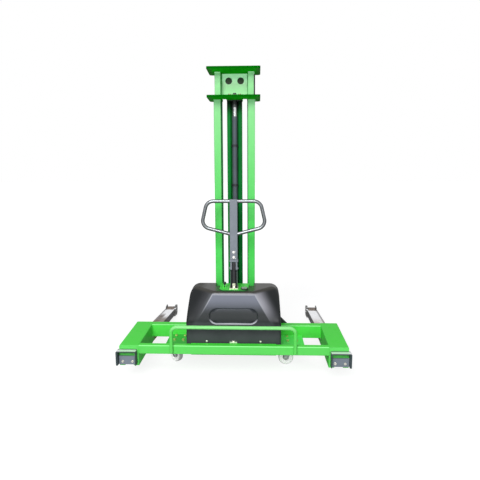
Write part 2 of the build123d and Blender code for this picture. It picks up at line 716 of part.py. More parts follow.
def fork():
    """Right-hand fork: shank on the bar and a blade that thins towards the tip."""
    top = FORK_FOOT + FORK_T
    outline = [(FORK_Y, FORK_FOOT), (FORK_TIP_Y, FORK_FOOT), (FORK_TIP_Y, FORK_FOOT + FORK_TIP_T),
               (FORK_TIP_Y - FORK_TAPER, top), (FORK_Y + FORK_T, top),
               (FORK_Y + FORK_T, FORK_BAR_TOP), (FORK_Y, FORK_BAR_TOP)]
    blade = side_prism(outline, (FORK_X, FORK_X + FORK_W))
    tip = blade.edges().filter_by(Axis.Z).group_by(Axis.Y)[-1]
    return fillet(tip, FORK_W / 4)


def tiller_plate():
    """Plate over the cover, carried by a stepped neck and two ribs on the front of the pillar."""
    z = (TILLER_PLATE_Z, TILLER_PLATE_Z + TILLER_PLATE_T)
    plate = block((-TILLER_PLATE_X, TILLER_PLATE_X), (TILLER_PLATE_Y, TILLER_PLATE_BACK_Y), z)
    plate = fillet(plate.edges().filter_by(Axis.Z).group_by(Axis.Y)[0], TILLER_PLATE_CORNER)
    neck = (-NECK_X, NECK_X)
    plate += block(neck, (NECK_Y, NECK_Y + NECK_T), (NECK_Z, TILLER_PLATE_Z))
    plate += block(neck, (NECK_Y, PILLAR_Y), (NECK_Z, NECK_Z + NECK_T))
    for x in both_sides(PLATE_RIB_X, PLATE_RIB_X + PLATE_RIB_T):
        plate += block(x, (COVER_BACK_Y + PLATE_RIB_T, PILLAR_Y), (PLATE_RIB_FOOT, NECK_Z))
    return plate - upright(SWITCH_X, SWITCH_Y, z, SWITCH_SPINDLE_D + 2 * FIT)


def tiller_post(bolts):
    """Black post on its flange that the tiller is hinged to, and its four bolts."""
    seat = TILLER_PLATE_Z + TILLER_PLATE_T
    half = POST_D / 2
    flange = (seat, seat + POST_FLANGE_T)
    y = (TILLER_Y - POST_FLANGE_D / 2, TILLER_Y + POST_FLANGE_D / 2)
    post = block((-POST_FLANGE_X, POST_FLANGE_X), y, flange)
    post += block((-POST_X, POST_X), (TILLER_Y - half, TILLER_Y + half), (flange[1], POST_SHOULDER))
    thin = POST_TONGUE_D / 2
    tongue = (-POST_TONGUE_X, POST_TONGUE_X)
    stand = block(tongue, (TILLER_Y - thin, TILLER_Y + thin), (POST_SHOULDER, POST_TOP))
    post += fillet(stand.edges().filter_by(Axis.X).group_by(Axis.Z)[-1], thin / 2)
    for dx in (-POST_BOLT_X, POST_BOLT_X):
        for dy in (-POST_BOLT_Y, POST_BOLT_Y):
            post -= upright(dx, TILLER_Y + dy, flange, POST_BOLT_D)
            bolts.append(Pos(dx, TILLER_Y + dy, flange[1]) * hex_bolt(POST_BOLT_D, POST_FLANGE_T))
    return post - across(tongue, TILLER_Y, TILLER_PIN_Z, TILLER_PIN_D)


def tiller_pin():
    """Hinge pin of the tiller with a head at each end."""
    end = CLEVIS_X + CLEVIS_T + SWIVEL_GAP
    pin = across((-end, end), TILLER_Y, TILLER_PIN_Z, TILLER_PIN_D)
    for x in both_sides(end, end + CASTOR_CHEEK_T):
        pin += across(x, TILLER_Y, TILLER_PIN_Z, 1.4 * TILLER_PIN_D)
    return pin


def tiller_stem():
    """Flat stem with a collar, two clevis cheeks around the post and pockets for the buttons."""
    half = STEM_D / 2
    stem = block((-STEM_X, STEM_X), (TILLER_Y - half, TILLER_Y + half), (COLLAR_Z, STEM_TOP))
    stem = fillet(stem.edges().filter_by(Axis.Z), half / 3)
    collar = COLLAR_D / 2
    stem += block((-COLLAR_X, COLLAR_X), (TILLER_Y - collar, TILLER_Y + collar), (COLLAR_Z, COLLAR_Z + COLLAR_H))
    wide = CLEVIS_D / 2
    outer = CLEVIS_X + CLEVIS_T
    for x in both_sides(CLEVIS_X, outer):
        stem += block(x, (TILLER_Y - wide, TILLER_Y + wide), (TILLER_PIN_Z, COLLAR_Z))
        stem += across(x, TILLER_Y, TILLER_PIN_Z, CLEVIS_D)
    stem -= across((-outer, outer), TILLER_Y, TILLER_PIN_Z, TILLER_PIN_D + 2 * FIT)
    front = TILLER_Y - half
    for z in BUTTON_Z:
        stem -= along(0, (front, front + POCKET_DEPTH), z, BUTTON_D + 2 * BUTTON_GAP)
    return stem


def tiller_loop():
    """Right-hand half of the handle: a round tube welded to the stem at its top and at its root."""
    points = [(0, LOOP_TOP_Z), (LOOP_TOP_X, LOOP_TOP_Z), (LOOP_SIDE_X, LOOP_SIDE_Z), (0, LOOP_ROOT_Z)]
    tube = bent_tube(points, TILLER_Y, LOOP_D, LOOP_BEND)
    half = STEM_D / 2
    return tube - block((-STEM_X, STEM_X), (TILLER_Y - half, TILLER_Y + half), (COLLAR_Z, STEM_TOP + LOOP_D))


def button_plate():
    """Small plate around the two buttons on the front of the stem."""
    front = TILLER_Y - STEM_D / 2
    y = (front - BUTTON_PLATE_T, front)
    z = (BUTTON_Z[0] - BUTTON_PLATE_MARGIN, BUTTON_Z[1] + BUTTON_PLATE_MARGIN)
    plate = block((-BUTTON_PLATE_X, BUTTON_PLATE_X), y, z)
    for place in BUTTON_Z:
        plate -= along(0, y, place, BUTTON_D + 2 * BUTTON_GAP)
    return plate


def button(z):
    """Domed push button."""
    front = TILLER_Y - STEM_D / 2 - BUTTON_PLATE_T
    body = along(0, (front - BUTTON_OUT, front + POCKET_DEPTH / 2), z, BUTTON_D)
    return fillet(body.edges().group_by(Axis.Y)[0], 0.7 * BUTTON_OUT)


def lever_mount():
    """Two cheeks with the pin of the lowering lever, welded on the tiller plate."""
    seat = TILLER_PLATE_Z + TILLER_PLATE_T
    half = LEVER_MOUNT_D / 2
    inner = LEVER_T / 2 + LEVER_CHEEK_GAP
    outer = inner + LEVER_CHEEK_T
    y = (TILLER_Y - half, TILLER_Y + half)
    mount = block((-outer, outer), y, (seat, seat + LEVER_CHEEK_GAP))
    for x in both_sides(inner, outer):
        mount += block(x, y, (seat, LEVER_Z + LEVER_HUB_R))
    mount += across((-outer, outer), TILLER_Y, LEVER_Z, LEVER_PIN_D)
    return Pos(LEVER_X, 0, 0) * mount


def lowering_lever():
    """Short lever with a ball knob."""
    x = (-LEVER_T / 2, LEVER_T / 2)
    lever = across(x, TILLER_Y, LEVER_Z, 2 * LEVER_HUB_R)
    lever += block(x, (TILLER_Y - LEVER_T / 2, TILLER_Y + LEVER_T / 2), (LEVER_Z, LEVER_KNOB_Z))
    lever += Pos(0, TILLER_Y, LEVER_KNOB_Z) * Sphere(LEVER_KNOB_D / 2)
    return Pos(LEVER_X, 0, 0) * (lever - across(x, TILLER_Y, LEVER_Z, LEVER_PIN_D + 2 * FIT))


def switch_knob():
    """Round main switch with a grip bar and a spindle through the tiller plate."""
    seat = TILLER_PLATE_Z + TILLER_PLATE_T
    low = seat + SWIVEL_GAP
    knob = upright(SWITCH_X, SWITCH_Y, (low, low + 0.5 * SWITCH_H), SWITCH_D)
    grip = 0.4 * SWITCH_D
    bar = 0.12 * SWITCH_D
    knob += block((SWITCH_X - grip, SWITCH_X + grip), (SWITCH_Y - bar, SWITCH_Y + bar), (low, low + SWITCH_H))
    return knob + upright(SWITCH_X, SWITCH_Y, (TILLER_PLATE_Z, low), SWITCH_SPINDLE_D)


def pump_motor():
    """Motor standing on the pump block, with a cap."""
    x = sum(PUMP_X) / 2
    y = sum(PUMP_Y) / 2
    z = TRAY_TOP + PUMP_H
    motor = upright(x, y, (z, z + MOTOR_H), MOTOR_D)
    return motor + upright(x, y, (z + MOTOR_H, z + MOTOR_H + 2 * COVER_WALL), 0.7 * MOTOR_D)


def oil_tank():
    """Moulded oil tank with rounded edges."""
    tank = block(TANK_X, TANK_Y, (TRAY_TOP, TRAY_TOP + TANK_H))
    return fillet(tank.edges().filter_by(Axis.Z), HEAD_CORNER)


def battery():
    """Sealed battery with its lid and two terminal posts."""
    top = TRAY_TOP + BATTERY_H
    box = block(BATTERY_X, BATTERY_Y, (TRAY_TOP, top))
    inset = HEAD_CORNER
    for x in (BATTERY_X[0] + 2 * inset, BATTERY_X[1] - 2 * inset):
        box += upright(x, BATTERY_Y[0] + 3 * inset, (top, top + inset), inset)
    return box


def hydraulic_hose():
    """Hose from the back of the pump block to the foot of the barrel."""
    start = (PUMP_X[0] + HOSE_D, PUMP_Y[1], TRAY_TOP + PUMP_H / 2)
    end = (0, BARREL_Y - BARREL_D / 2, HOSE_Z)
    path = Spline(start, end, tangents=((0, 1, 0), (0, 1, 0)), tangent_scalars=(1.3, 1.1))
    hose = sweep(Plane(origin=path @ 0, z_dir=path % 0) * Circle(HOSE_D / 2), path=path)
    return hose - upright(0, BARREL_Y, (TRAY_TOP, BARREL_TOP), BARREL_D)


def write(node, shapes):
    """Write one node, moved to the middle of the length. Several solids stay separate."""
    solids = shapes if isinstance(shapes, list) else [shapes]
    placed = [Pos(0, -Y_MID, 0) * shape for shape in solids]
    export_step(placed[0] if len(placed) == 1 else Compound(children=placed), f"parts/{node}.step")


os.makedirs("parts", exist_ok=True)

write("right_side_rail", side_rail())
write("left_side_rail", mirrored(side_rail()))
write("rear_crossbeam", box_tube((-RAIL_IN, RAIL_IN), (0, REAR_BEAM_D), (RAIL_TOP - REAR_BEAM_H, RAIL_TOP)))
write("front_crossbeam", box_tube((-RAIL_IN, RAIL_IN), (FRONT_BEAM_Y, RAIL_LEN), (RAIL_TOP - FRONT_BEAM_H, RAIL_TOP)))
write("base_tray", base_tray())
write("push_bar", push_bar())

end_bolts = []
bracket = end_bracket()
plate = end_plate(end_bolts)
write("end_brackets", [bracket, mirrored(bracket)])
write("end_plates", [plate, mirrored(plate)])
write("end_plate_bolts", end_bolts + [mirrored(bolt) for bolt in end_bolts])

castor_bolts = []
write("castor_plates", [castor_plate(-1, castor_bolts), castor_plate(1, castor_bolts)])
for name, side, swivel in (("left", -1, LEFT_SWIVEL), ("right", 1, 0)):
    axis = Pos(side * CASTOR_X, CASTOR_Y, 0) * Rot(Z=swivel)
    write(f"{name}_castor_fork", axis * castor_fork())
    write(f"{name}_castor_wheel", axis * castor_wheel())
write("castor_bolts", castor_bolts)
write("castor_tops", [Pos(side * CASTOR_X, CASTOR_Y, 0) * castor_top() for side in (-1, 1)])

write("right_leg", leg())
write("left_leg", mirrored(leg()))
write("right_leg_roller", leg_roller())
write("left_leg_roller", mirrored(leg_roller()))
write("right_leg_axle", leg_axle())
write("left_leg_axle", mirrored(leg_axle()))
leg_pin = across((RAIL_IN, RAIL_OUT), LEG_PIN_Y, LEG_PIN_Z, LEG_PIN_D)
write("leg_hinge_pins", [leg_pin, mirrored(leg_pin)])

write("cover", cover())
write("cover_screws", [cover_screw(-COVER_SCREW_X), cover_screw(COVER_SCREW_X)])
write("cover_latch", cover_latch())
write("battery", battery())
write("oil_tank", oil_tank())
write("pump_unit", [block(PUMP_X, PUMP_Y, (TRAY_TOP, TRAY_TOP + PUMP_H)), pump_motor()])
write("hydraulic_hose", hydraulic_hose())

write("mast_foot", mast_foot())
write("centre_pillar", centre_pillar())
write("cylinder_barrel", cylinder_barrel())
write("cylinder_clamps", [cylinder_clamp(z) for z in CLAMP_Z])

write("right_mast_column", mast_column())
write("left_mast_column", mirrored(mast_column()))
lower_plate = head_plate(LOWER_PLATE_Z) - mast_column() - mirrored(mast_column())
stud_hole = upright(0, BARREL_Y, (LOWER_PLATE_Z, LOWER_PLATE_Z + HEAD_PLATE_T), STUD_D)
lower_plate -= stud_hole
for notch_x in both_sides(HEAD_TONGUE_X, COLUMN_OUT - COLUMN_REAR_FLANGE):
    lower_plate -= block(notch_x, (HEAD_NOTCH_Y, HEAD_BACK_Y), (LOWER_PLATE_Z, LOWER_PLATE_Z + HEAD_PLATE_T))
head_bolts = []
for bolt_x in (-HEAD_BOLT_X, HEAD_BOLT_X):
    lower_plate -= Pos(bolt_x, 0, 0) * upright(0, BARREL_Y, (LOWER_PLATE_Z, TOP_PLATE_Z), HEAD_BOLT_D)
    bolt = Pos(0, 0, HEAD_SLEEVE_H) * hex_bolt(HEAD_BOLT_D, HEAD_SLEEVE_H + HEAD_PLATE_T + ROD_FLANGE_T)
    bolt += Pos(0, 0, HEAD_SLEEVE_H / 2) * Cylinder(0.9 * HEAD_BOLT_D, HEAD_SLEEVE_H)
    head_bolts.append(Pos(bolt_x, BARREL_Y, LOWER_PLATE_Z + HEAD_PLATE_T) * bolt)
write("head_lower_plate", lower_plate)
write("head_top_plate", head_plate(TOP_PLATE_Z))
write("head_face_plate", face_plate())
back_span = (LOWER_PLATE_Z + HEAD_PLATE_T, TOP_PLATE_Z)
back_plate = block((-BACK_PLATE_X, BACK_PLATE_X), (CARRIAGE_Y, BACK_PLATE_Y + FACE_PLATE_T), back_span)
write("head_back_plate", back_plate)
write("piston_rod", piston_rod())
write("rod_nut", rod_nut())
write("head_bolts", head_bolts)
write("fork_carriage", fork_carriage())
write("guide_pads", guide_pads())
write("right_fork", fork())
write("left_fork", mirrored(fork()))

post_bolts = []
write("tiller_plate", tiller_plate() + lever_mount())
write("tiller_post", tiller_post(post_bolts))
write("tiller_post_bolts", post_bolts)
write("tiller_pin", tiller_pin())
write("tiller_stem", tiller_stem())
write("tiller_loop", [tiller_loop(), mirrored(tiller_loop())])
write("button_plate", button_plate())
write("lowering_button", button(BUTTON_Z[0]))
write("raising_button", button(BUTTON_Z[1]))
write("lowering_lever", lowering_lever())
write("main_switch", switch_knob())
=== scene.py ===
import bpy
import numpy as np
from mathutils import Matrix, Vector


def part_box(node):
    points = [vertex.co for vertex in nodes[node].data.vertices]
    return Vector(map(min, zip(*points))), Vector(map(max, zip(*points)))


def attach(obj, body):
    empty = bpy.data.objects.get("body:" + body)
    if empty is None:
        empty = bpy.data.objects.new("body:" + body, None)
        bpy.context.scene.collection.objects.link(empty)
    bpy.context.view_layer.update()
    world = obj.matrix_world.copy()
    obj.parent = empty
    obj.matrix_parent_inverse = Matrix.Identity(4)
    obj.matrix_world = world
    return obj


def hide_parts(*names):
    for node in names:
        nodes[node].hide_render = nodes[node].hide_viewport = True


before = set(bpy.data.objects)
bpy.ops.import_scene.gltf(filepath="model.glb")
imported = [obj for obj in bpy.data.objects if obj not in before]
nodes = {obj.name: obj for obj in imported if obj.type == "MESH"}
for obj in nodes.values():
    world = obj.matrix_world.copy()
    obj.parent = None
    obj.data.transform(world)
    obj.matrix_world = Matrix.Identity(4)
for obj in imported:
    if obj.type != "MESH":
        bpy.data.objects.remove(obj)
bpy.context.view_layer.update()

# Chassis: two folded side rails, two box tubes, the tray, the castor plates and the mast foot.
# Mild steel, welded into one frame and powder coated in a lime green with a fine orange peel.
# The coat is satin, with a painted highlight along the beams' rolled edges, and duller where it has been
# rubbed.

LIME = (0.088, 0.715, 0.080)
LIME_DEEP = (0.070, 0.655, 0.062)
LIME_TOP_LIGHT = (0.064, 0.750, 0.048)     # painted light on the faces that look up
LIME_REAR_LIGHT = (0.108, 0.615, 0.106)    # painted light on the rearmost faces, towards the operator
LIME_EDGE_HIGHLIGHT = (0.270, 0.900, 0.275)    # painted highlight along the rolled edges of the two beams
LIME_SCUFF = (0.10, 0.42, 0.10)
LIME_LEFT_SHADE = (0.056, 0.520, 0.066)    # painted shade darkens the left castor plate, painted light brightens the right one
LIME_RIGHT_LIGHT = (0.115, 0.930, 0.135)
SATIN = (0.36, 0.52)                 # roughness of the coat, untouched and rubbed
PAINT_SHINE = 0.12                   # specular level of most paints
SCUFF_CUT = 0.74                     # the higher, the fewer scuffs


def corners(node):
    """The lowest and the highest corner of a CAD node at rest, to a thousandth of a millimetre."""
    return [[round(value, 6) for value in corner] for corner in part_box(node)]


(_, REAR_OUT, REAR_UNDER), (BEAM_END, REAR_IN, BEAM_TOP) = corners("rear_crossbeam")
(_, FRONT_IN, FRONT_UNDER), (_, FRONT_OUT, _) = corners("front_crossbeam")
EDGE_IN = 0.0018                     # from a beam's rear side to the middle of its rolled edge
EDGE_REACH = (0.0032, 0.0016)
EDGE_Z = (BEAM_TOP - 0.0055, BEAM_TOP - 0.0035)
TOP_FROM, TOP_UNTIL = (BEAM_TOP - 0.0009, BEAM_TOP - 0.0002), (BEAM_TOP + 0.0035, BEAM_TOP + 0.0015)
REARMOST_Y = (REAR_OUT + 0.0010, REAR_OUT + 0.0004)
BEAM_FREE = BEAM_END - 0.001         # a beam stands clear of the rails up to here
LEFT_TO_RIGHT = (-0.1, 0.1)


def effect_group(name, inputs, outputs):
    """An empty shader node group with float inputs (name, default) and float outputs (name)."""
    tree = bpy.data.node_groups.new(name, "ShaderNodeTree")
    for label, default in inputs:
        socket = tree.interface.new_socket(label, in_out="INPUT", socket_type="NodeSocketFloat")
        socket.default_value = default
    for label in outputs:
        tree.interface.new_socket(label, in_out="OUTPUT", socket_type="NodeSocketFloat")
    return tree, tree.nodes.new("NodeGroupInput"), tree.nodes.new("NodeGroupOutput")


def add_node(tree, kind, settings=None, **inputs):
    """A node of that kind in a tree, with its properties, and its inputs set or linked by name.
    An input named i and a number is found by that number."""
    node = tree.nodes.new(kind)
    for key, value in (settings or {}).items():
        setattr(node, key, value)
    for key, value in inputs.items():
        socket = node.inputs[int(key[1:])] if key[0] == "i" and key[1:].isdigit() else node.inputs[key]
        if isinstance(value, bpy.types.NodeSocket):
            tree.links.new(value, socket)
        else:
            socket.default_value = value
    return node


def noise_value(tree, vector, scale, detail=3.0, rough=0.55):
    """The value of a noise texture at a vector."""
    node = add_node(tree, "ShaderNodeTexNoise", Vector=vector, Scale=scale, Detail=detail, Roughness=rough)
    return node.outputs[0]


def ramp_between(tree, value, low, high, to_low=0.0, to_high=1.0):
    """A value mapped from low..high to to_low..to_high with soft ends."""
    node = add_node(tree, "ShaderNodeMapRange", {"interpolation_type": "SMOOTHSTEP"},
                    i0=value, i1=low, i2=high, i3=to_low, i4=to_high)
    return node.outputs[0]


def arithmetic(tree, operation, a, b):
    """One arithmetic step on two values."""
    return add_node(tree, "ShaderNodeMath", {"operation": operation}, i0=a, i1=b).outputs[0]


def times(tree, first, *others):
    """The product of values."""
    for value in others:
        first = arithmetic(tree, "MULTIPLY", first, value)
    return first


def largest(tree, first, *others):
    """The largest of values."""
    for value in others:
        first = arithmetic(tree, "MAXIMUM", first, value)
    return first


def size_of(tree, value):
    """A value without its sign."""
    return arithmetic(tree, "ABSOLUTE", value, 0.0)


def split_axes(tree, place):
    """The three coordinates of a place: across the object, along it and up."""
    return add_node(tree, "ShaderNodeSeparateXYZ", i0=place).outputs


def coat_group():
    """Powder coat: a soft mottle for the colour, a rub mask for the gloss and an orange-peel height."""
    tree, given, out = effect_group(
        "powder_coat", [("Mottle scale", 6.0), ("Peel scale", 900.0), ("Rub scale", 14.0)],
        ["Mottle", "Rub", "Peel"])
    place = add_node(tree, "ShaderNodeTexCoord").outputs["Object"]
    mottle = noise_value(tree, place, given.outputs["Mottle scale"])
    rub = noise_value(tree, place, given.outputs["Rub scale"], 6.0, 0.7)
    peel = noise_value(tree, place, given.outputs["Peel scale"], 1.0)
    tree.links.new(ramp_between(tree, mottle, 0.35, 0.68), out.inputs["Mottle"])
    tree.links.new(ramp_between(tree, rub, 0.52, 0.74), out.inputs["Rub"])
    tree.links.new(peel, out.inputs["Peel"])
    return tree


def scratch_group():
    """Fine scratches: two noises stretched along two directions, cut to thin lines."""
    tree, given, out = effect_group("fine_scratches", [("Scale", 40.0), ("Cut", 0.66)], ["Mask"])
    place = add_node(tree, "ShaderNodeTexCoord").outputs["Object"]
    lines = []
    for stretch in ((1.0, 0.06, 0.6), (0.08, 1.0, 0.9)):
        squeezed = add_node(tree, "ShaderNodeMapping", Vector=place, Scale=stretch).outputs[0]
        lines.append(noise_value(tree, squeezed, given.outputs["Scale"], 5.0, 0.65))
    over = arithmetic(tree, "SUBTRACT", largest(tree, *lines), given.outputs["Cut"])
    tree.links.new(ramp_between(tree, over, 0.0, 0.05), out.inputs["Mask"])
    return tree


powder_coat = coat_group()
fine_scratches = scratch_group()


def new_material(name, metallic=0.0, coat=0.0, coat_rough=0.1, specular=0.5):
    """A material with its tree, its shader and Object coordinates."""
    material = bpy.data.materials.new(name)
    material.use_nodes = True
    tree = material.node_tree
    shader = tree.nodes["Principled BSDF"]
    shader.inputs["Metallic"].default_value = metallic
    shader.inputs["Coat Weight"].default_value = coat
    shader.inputs["Coat Roughness"].default_value = coat_rough
    shader.inputs["Specular IOR Level"].default_value = specular
    place = add_node(tree, "ShaderNodeTexCoord").outputs["Object"]
    return material, tree, shader, place


def use_group(tree, group, **inputs):
    """A shared effect placed in a material with its own values."""
    node = tree.nodes.new("ShaderNodeGroup")
    node.node_tree = group
    for label, value in inputs.items():
        node.inputs[label.replace("_", " ")].default_value = value
    return node


def mix_colours(tree, factor, a, b):
    """Two colours mixed by a factor."""
    node = add_node(tree, "ShaderNodeMix", {"data_type": "RGBA"}, i0=factor)
    for socket, value in ((node.inputs[6], a), (node.inputs[7], b)):
        if isinstance(value, bpy.types.NodeSocket):
            tree.links.new(value, socket)
        else:
            socket.default_value = (*value, 1.0)
    return node.outputs[2]


def feed(tree, shader, **values):
    """Values linked to the shader's sockets of those names."""
    for label, value in values.items():
        tree.links.new(value, shader.inputs[label.replace("_", " ")])


def bump_from(tree, shader, height, strength, distance):
    """A height made into the shader's normal."""
    bump = add_node(tree, "ShaderNodeBump", Height=height, Strength=strength, Distance=distance)
    feed(tree, shader, Normal=bump.outputs[0])


def rub_between(tree, film, untouched, rubbed):
    """A roughness that the rub mask of a film moves between two values."""
    return ramp_between(tree, film.outputs["Rub"], 0.0, 1.0, untouched, rubbed)


def film_over(tree, shader, film, colour, rough, peel=0.25, depth=0.0004):
    """A sprayed or moulded skin: its colour, its roughness by the rub mask, and its peel as a bump."""
    feed(tree, shader, Base_Color=colour, Roughness=rub_between(tree, film, *rough))
    bump_from(tree, shader, film.outputs["Peel"], peel, depth)


def paint(name, colour, deep, rough, scuff, coat=0.0, scuff_cut=SCUFF_CUT):
    """Sprayed paint: mottle between two shades, a few scuffs to a third colour, orange-peel bump."""
    material, tree, shader, _ = new_material(name, coat=coat, specular=PAINT_SHINE)
    film = use_group(tree, powder_coat)
    marks = use_group(tree, fine_scratches, Cut=scuff_cut)
    base = mix_colours(tree, film.outputs["Mottle"], deep, colour)
    film_over(tree, shader, film, mix_colours(tree, marks.outputs["Mask"], base, scuff), rough)
    return material


def dress(material, *names):
    """CAD nodes take a material."""
    for name in names:
        mesh = nodes[name].data
        mesh.materials.clear()
        mesh.materials.append(material)


lime_coat, tree, shader, place = new_material("lime_powder_coat", specular=PAINT_SHINE)
film = use_group(tree, powder_coat)
marks = use_group(tree, fine_scratches, Cut=SCUFF_CUT)
across, along, height = split_axes(tree, place)
lime = mix_colours(tree, film.outputs["Mottle"], LIME_DEEP, LIME)
# painted light: the faces that look up take a brighter, more saturated green
level = times(tree, ramp_between(tree, height, *TOP_FROM, 0.0, 0.9), ramp_between(tree, height, *TOP_UNTIL))
lime = mix_colours(tree, level, lime, LIME_TOP_LIGHT)
# painted light: the rearmost faces take a paler, duller tint
lime = mix_colours(tree, ramp_between(tree, along, *REARMOST_Y), lime, LIME_REAR_LIGHT)
edges = []
for beam_side in (REAR_OUT, FRONT_IN):
    from_edge = size_of(tree, arithmetic(tree, "SUBTRACT", along, beam_side + EDGE_IN))
    edges.append(ramp_between(tree, from_edge, *EDGE_REACH))
on_beam = arithmetic(tree, "LESS_THAN", size_of(tree, across), BEAM_FREE)
rolled = times(tree, on_beam, ramp_between(tree, height, *EDGE_Z), largest(tree, *edges))
lime = mix_colours(tree, rolled, lime, LIME_EDGE_HIGHLIGHT)
lime = mix_colours(tree, marks.outputs["Mask"], lime, LIME_SCUFF)
film_over(tree, shader, film, lime, SATIN)
dress(lime_coat, "right_side_rail", "left_side_rail", "rear_crossbeam", "front_crossbeam", "base_tray",
      "mast_foot")

# The castor plates carry painted shade on the left and painted light on the right.
castor_coat, tree, shader, place = new_material("castor_plate_coat", specular=PAINT_SHINE)
film = use_group(tree, powder_coat)
across, _, _ = split_axes(tree, place)
lime = mix_colours(tree, ramp_between(tree, across, *LEFT_TO_RIGHT), LIME_LEFT_SHADE, LIME_RIGHT_LIGHT)
film_over(tree, shader, film, lime, SATIN)
dress(castor_coat, "castor_plates")

# Weld seams of the chassis: fillet beads laid by hand where tubes, rails and plates meet.
# Each bead is a row of small overlapping scales, painted over with the frame.
# They are about as wide as the plates are thick.

BEAD, FINE_BEAD, BRACKET_BEAD = 0.0045, 0.003, 0.0025   # half widths
BEAD_STEP = 0.0042                   # length of one scale
BEAD_END = 0.002                     # a bead stops this far from a corner
BEAD_PROUD = 0.0005                  # and may stand this far off a face
SEAM_Z = BEAM_TOP - 0.005            # height of the beads along a beam's upper ends
LIP_Z = BEAM_TOP - 0.001             # where the upright beads end
_, (TRAY_X, _, _) = corners("base_tray")
(_, PLATE_REAR, _), (PLATE_X, _, PLATE_Z) = corners("castor_plates")
(_, FOOT_REAR, _), (FOOT_X, _, _) = corners("mast_foot")
(_, PILLAR_REAR, PILLAR_FOOT), (PILLAR_X, _, _) = corners("centre_pillar")
BRACKET_X, BRACKET_SEAM = 0.589, (0.140, 0.218)
TRAY_REAR_Y = REAR_IN + 0.006


def grid_object(name, grids, material, wrap=False):
    """One mesh from arrays of points (rows, columns, 3): neighbours in rows and columns make quads.
    With wrap, the last column joins the first."""
    points, faces, start = [], [], 0
    for grid in grids:
        rows, columns = grid.shape[:2]
        index = np.arange(rows * columns).reshape(rows, columns) + start
        right = np.roll(index, -1, axis=1) if wrap else index[:, 1:]
        left = index if wrap else index[:, :-1]
        faces.append(np.stack([left[:-1], right[:-1], right[1:], left[1:]], -1).reshape(-1, 4))
        points.append(grid.reshape(-1, 3))
        start += rows * columns
    mesh = bpy.data.meshes.new(name)
    mesh.from_pydata(np.concatenate(points).tolist(), [], np.concatenate(faces).tolist())
    mesh.polygons.foreach_set("use_smooth", np.full(len(mesh.polygons), True))
    mesh.materials.append(material)
    piece = bpy.data.objects.new(name, mesh)
    bpy.context.scene.collection.objects.link(piece)
    return piece


def part_piece(name, grids, material, body, wrap=False):
    """A grid object that is a piece of the part, rides on a body and has a material slot."""
    piece = grid_object(name, grids, material, wrap)
    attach(piece, body)
    return piece


def bead(start, end, out, half=BEAD):
    """A weld bead from start to end. Across, a half circle that bulges along out; along, its radius
    repeats a tilted sawtooth scale, and it shrinks to nothing at both ends."""
    start, end, out = (np.array(v, float) for v in (start, end, out))
    length = np.linalg.norm(end - start)
    along = (end - start) / length
    out = out / np.linalg.norm(out)
    side = np.cross(along, out)
    t = np.linspace(0.0, 1.0, max(12, int(length / BEAD_STEP * 4)))[:, None]
    turn = np.linspace(-0.6 * np.pi, 0.6 * np.pi, 9)[None, :]
    scale = (t * length / BEAD_STEP) % 1.0
    close = np.clip(np.minimum(t, 1.0 - t) * length / half, 0.0, 1.0) ** 0.5
    radius = half * (0.86 + 0.16 * scale) * close
    line = start + along * (t * length)[..., None]
    return line + radius[..., None] * (np.cos(turn)[..., None] * out + np.sin(turn)[..., None] * side)


def upright_bead(x, y, low, high, out, half=BEAD):
    """A bead that runs straight up from one height to another."""
    return bead((x, y, low), (x, y, high), out, half)


def level_bead(x, z, rear, front, out, half=BEAD):
    """A bead that runs straight forward from one place to another."""
    return bead((x, rear, z), (x, front, z), out, half)


def cross_bead(y, z, left, right, out, half=BEAD):
    """A bead that runs straight across from one side to the other."""
    return bead((left, y, z), (right, y, z), out, half)


seams = []
rear_foot, front_foot = REAR_UNDER + BEAD_END, FRONT_UNDER + BEAD_END
for side in (-1, 1):
    x, tray_x, foot_x = side * BEAM_END, side * TRAY_X, side * (FOOT_X + BEAD_PROUD)
    inner, outer = side * (TRAY_X + BEAD_END), side * (PLATE_X - BEAD_END)
    seams += [level_bead(x, SEAM_Z, REAR_OUT, REAR_IN, (-side, 0, 1)),
              upright_bead(x, REAR_OUT - BEAD_PROUD, rear_foot, SEAM_Z, (-side, -1, 0), FINE_BEAD),
              upright_bead(x, REAR_IN, rear_foot, LIP_Z, (-side, 1, 0)),
              upright_bead(x, FRONT_IN, front_foot, LIP_Z, (-side, -1, 0)),
              level_bead(x, SEAM_Z, FRONT_IN, FRONT_OUT, (-side, 0, 1)),
              cross_bead(FRONT_IN, PLATE_Z, inner, outer, (0, -1, 1)),
              level_bead(tray_x, PLATE_Z, PLATE_REAR + BEAD_END, FRONT_IN - BEAD_END, (0, 0, 1), FINE_BEAD),
              level_bead(foot_x, BEAM_TOP, FOOT_REAR + BEAD_END, FRONT_OUT - BEAD_END, (side, 0, 1)),
              upright_bead(side * BRACKET_X, REAR_OUT, *BRACKET_SEAM, (-side, -1, 0), BRACKET_BEAD)]
seams += [cross_bead(TRAY_REAR_Y, PLATE_Z, BEAD_END - TRAY_X, TRAY_X - BEAD_END, (0, 1, 1)),
          cross_bead(PILLAR_REAR - BEAD_PROUD, PILLAR_FOOT, -PILLAR_X, PILLAR_X, (0, -1, 1), FINE_BEAD)]
part_piece("chassis_welds", seams, lime_coat, "chassis")

# Rear end brackets: folded blue-grey channels welded on the rail ends, with a bolted plate in each.
# The folded edge is rubbed bright along its top where it meets a truck bed.
# The plates are held by two zinc bolts with washers.

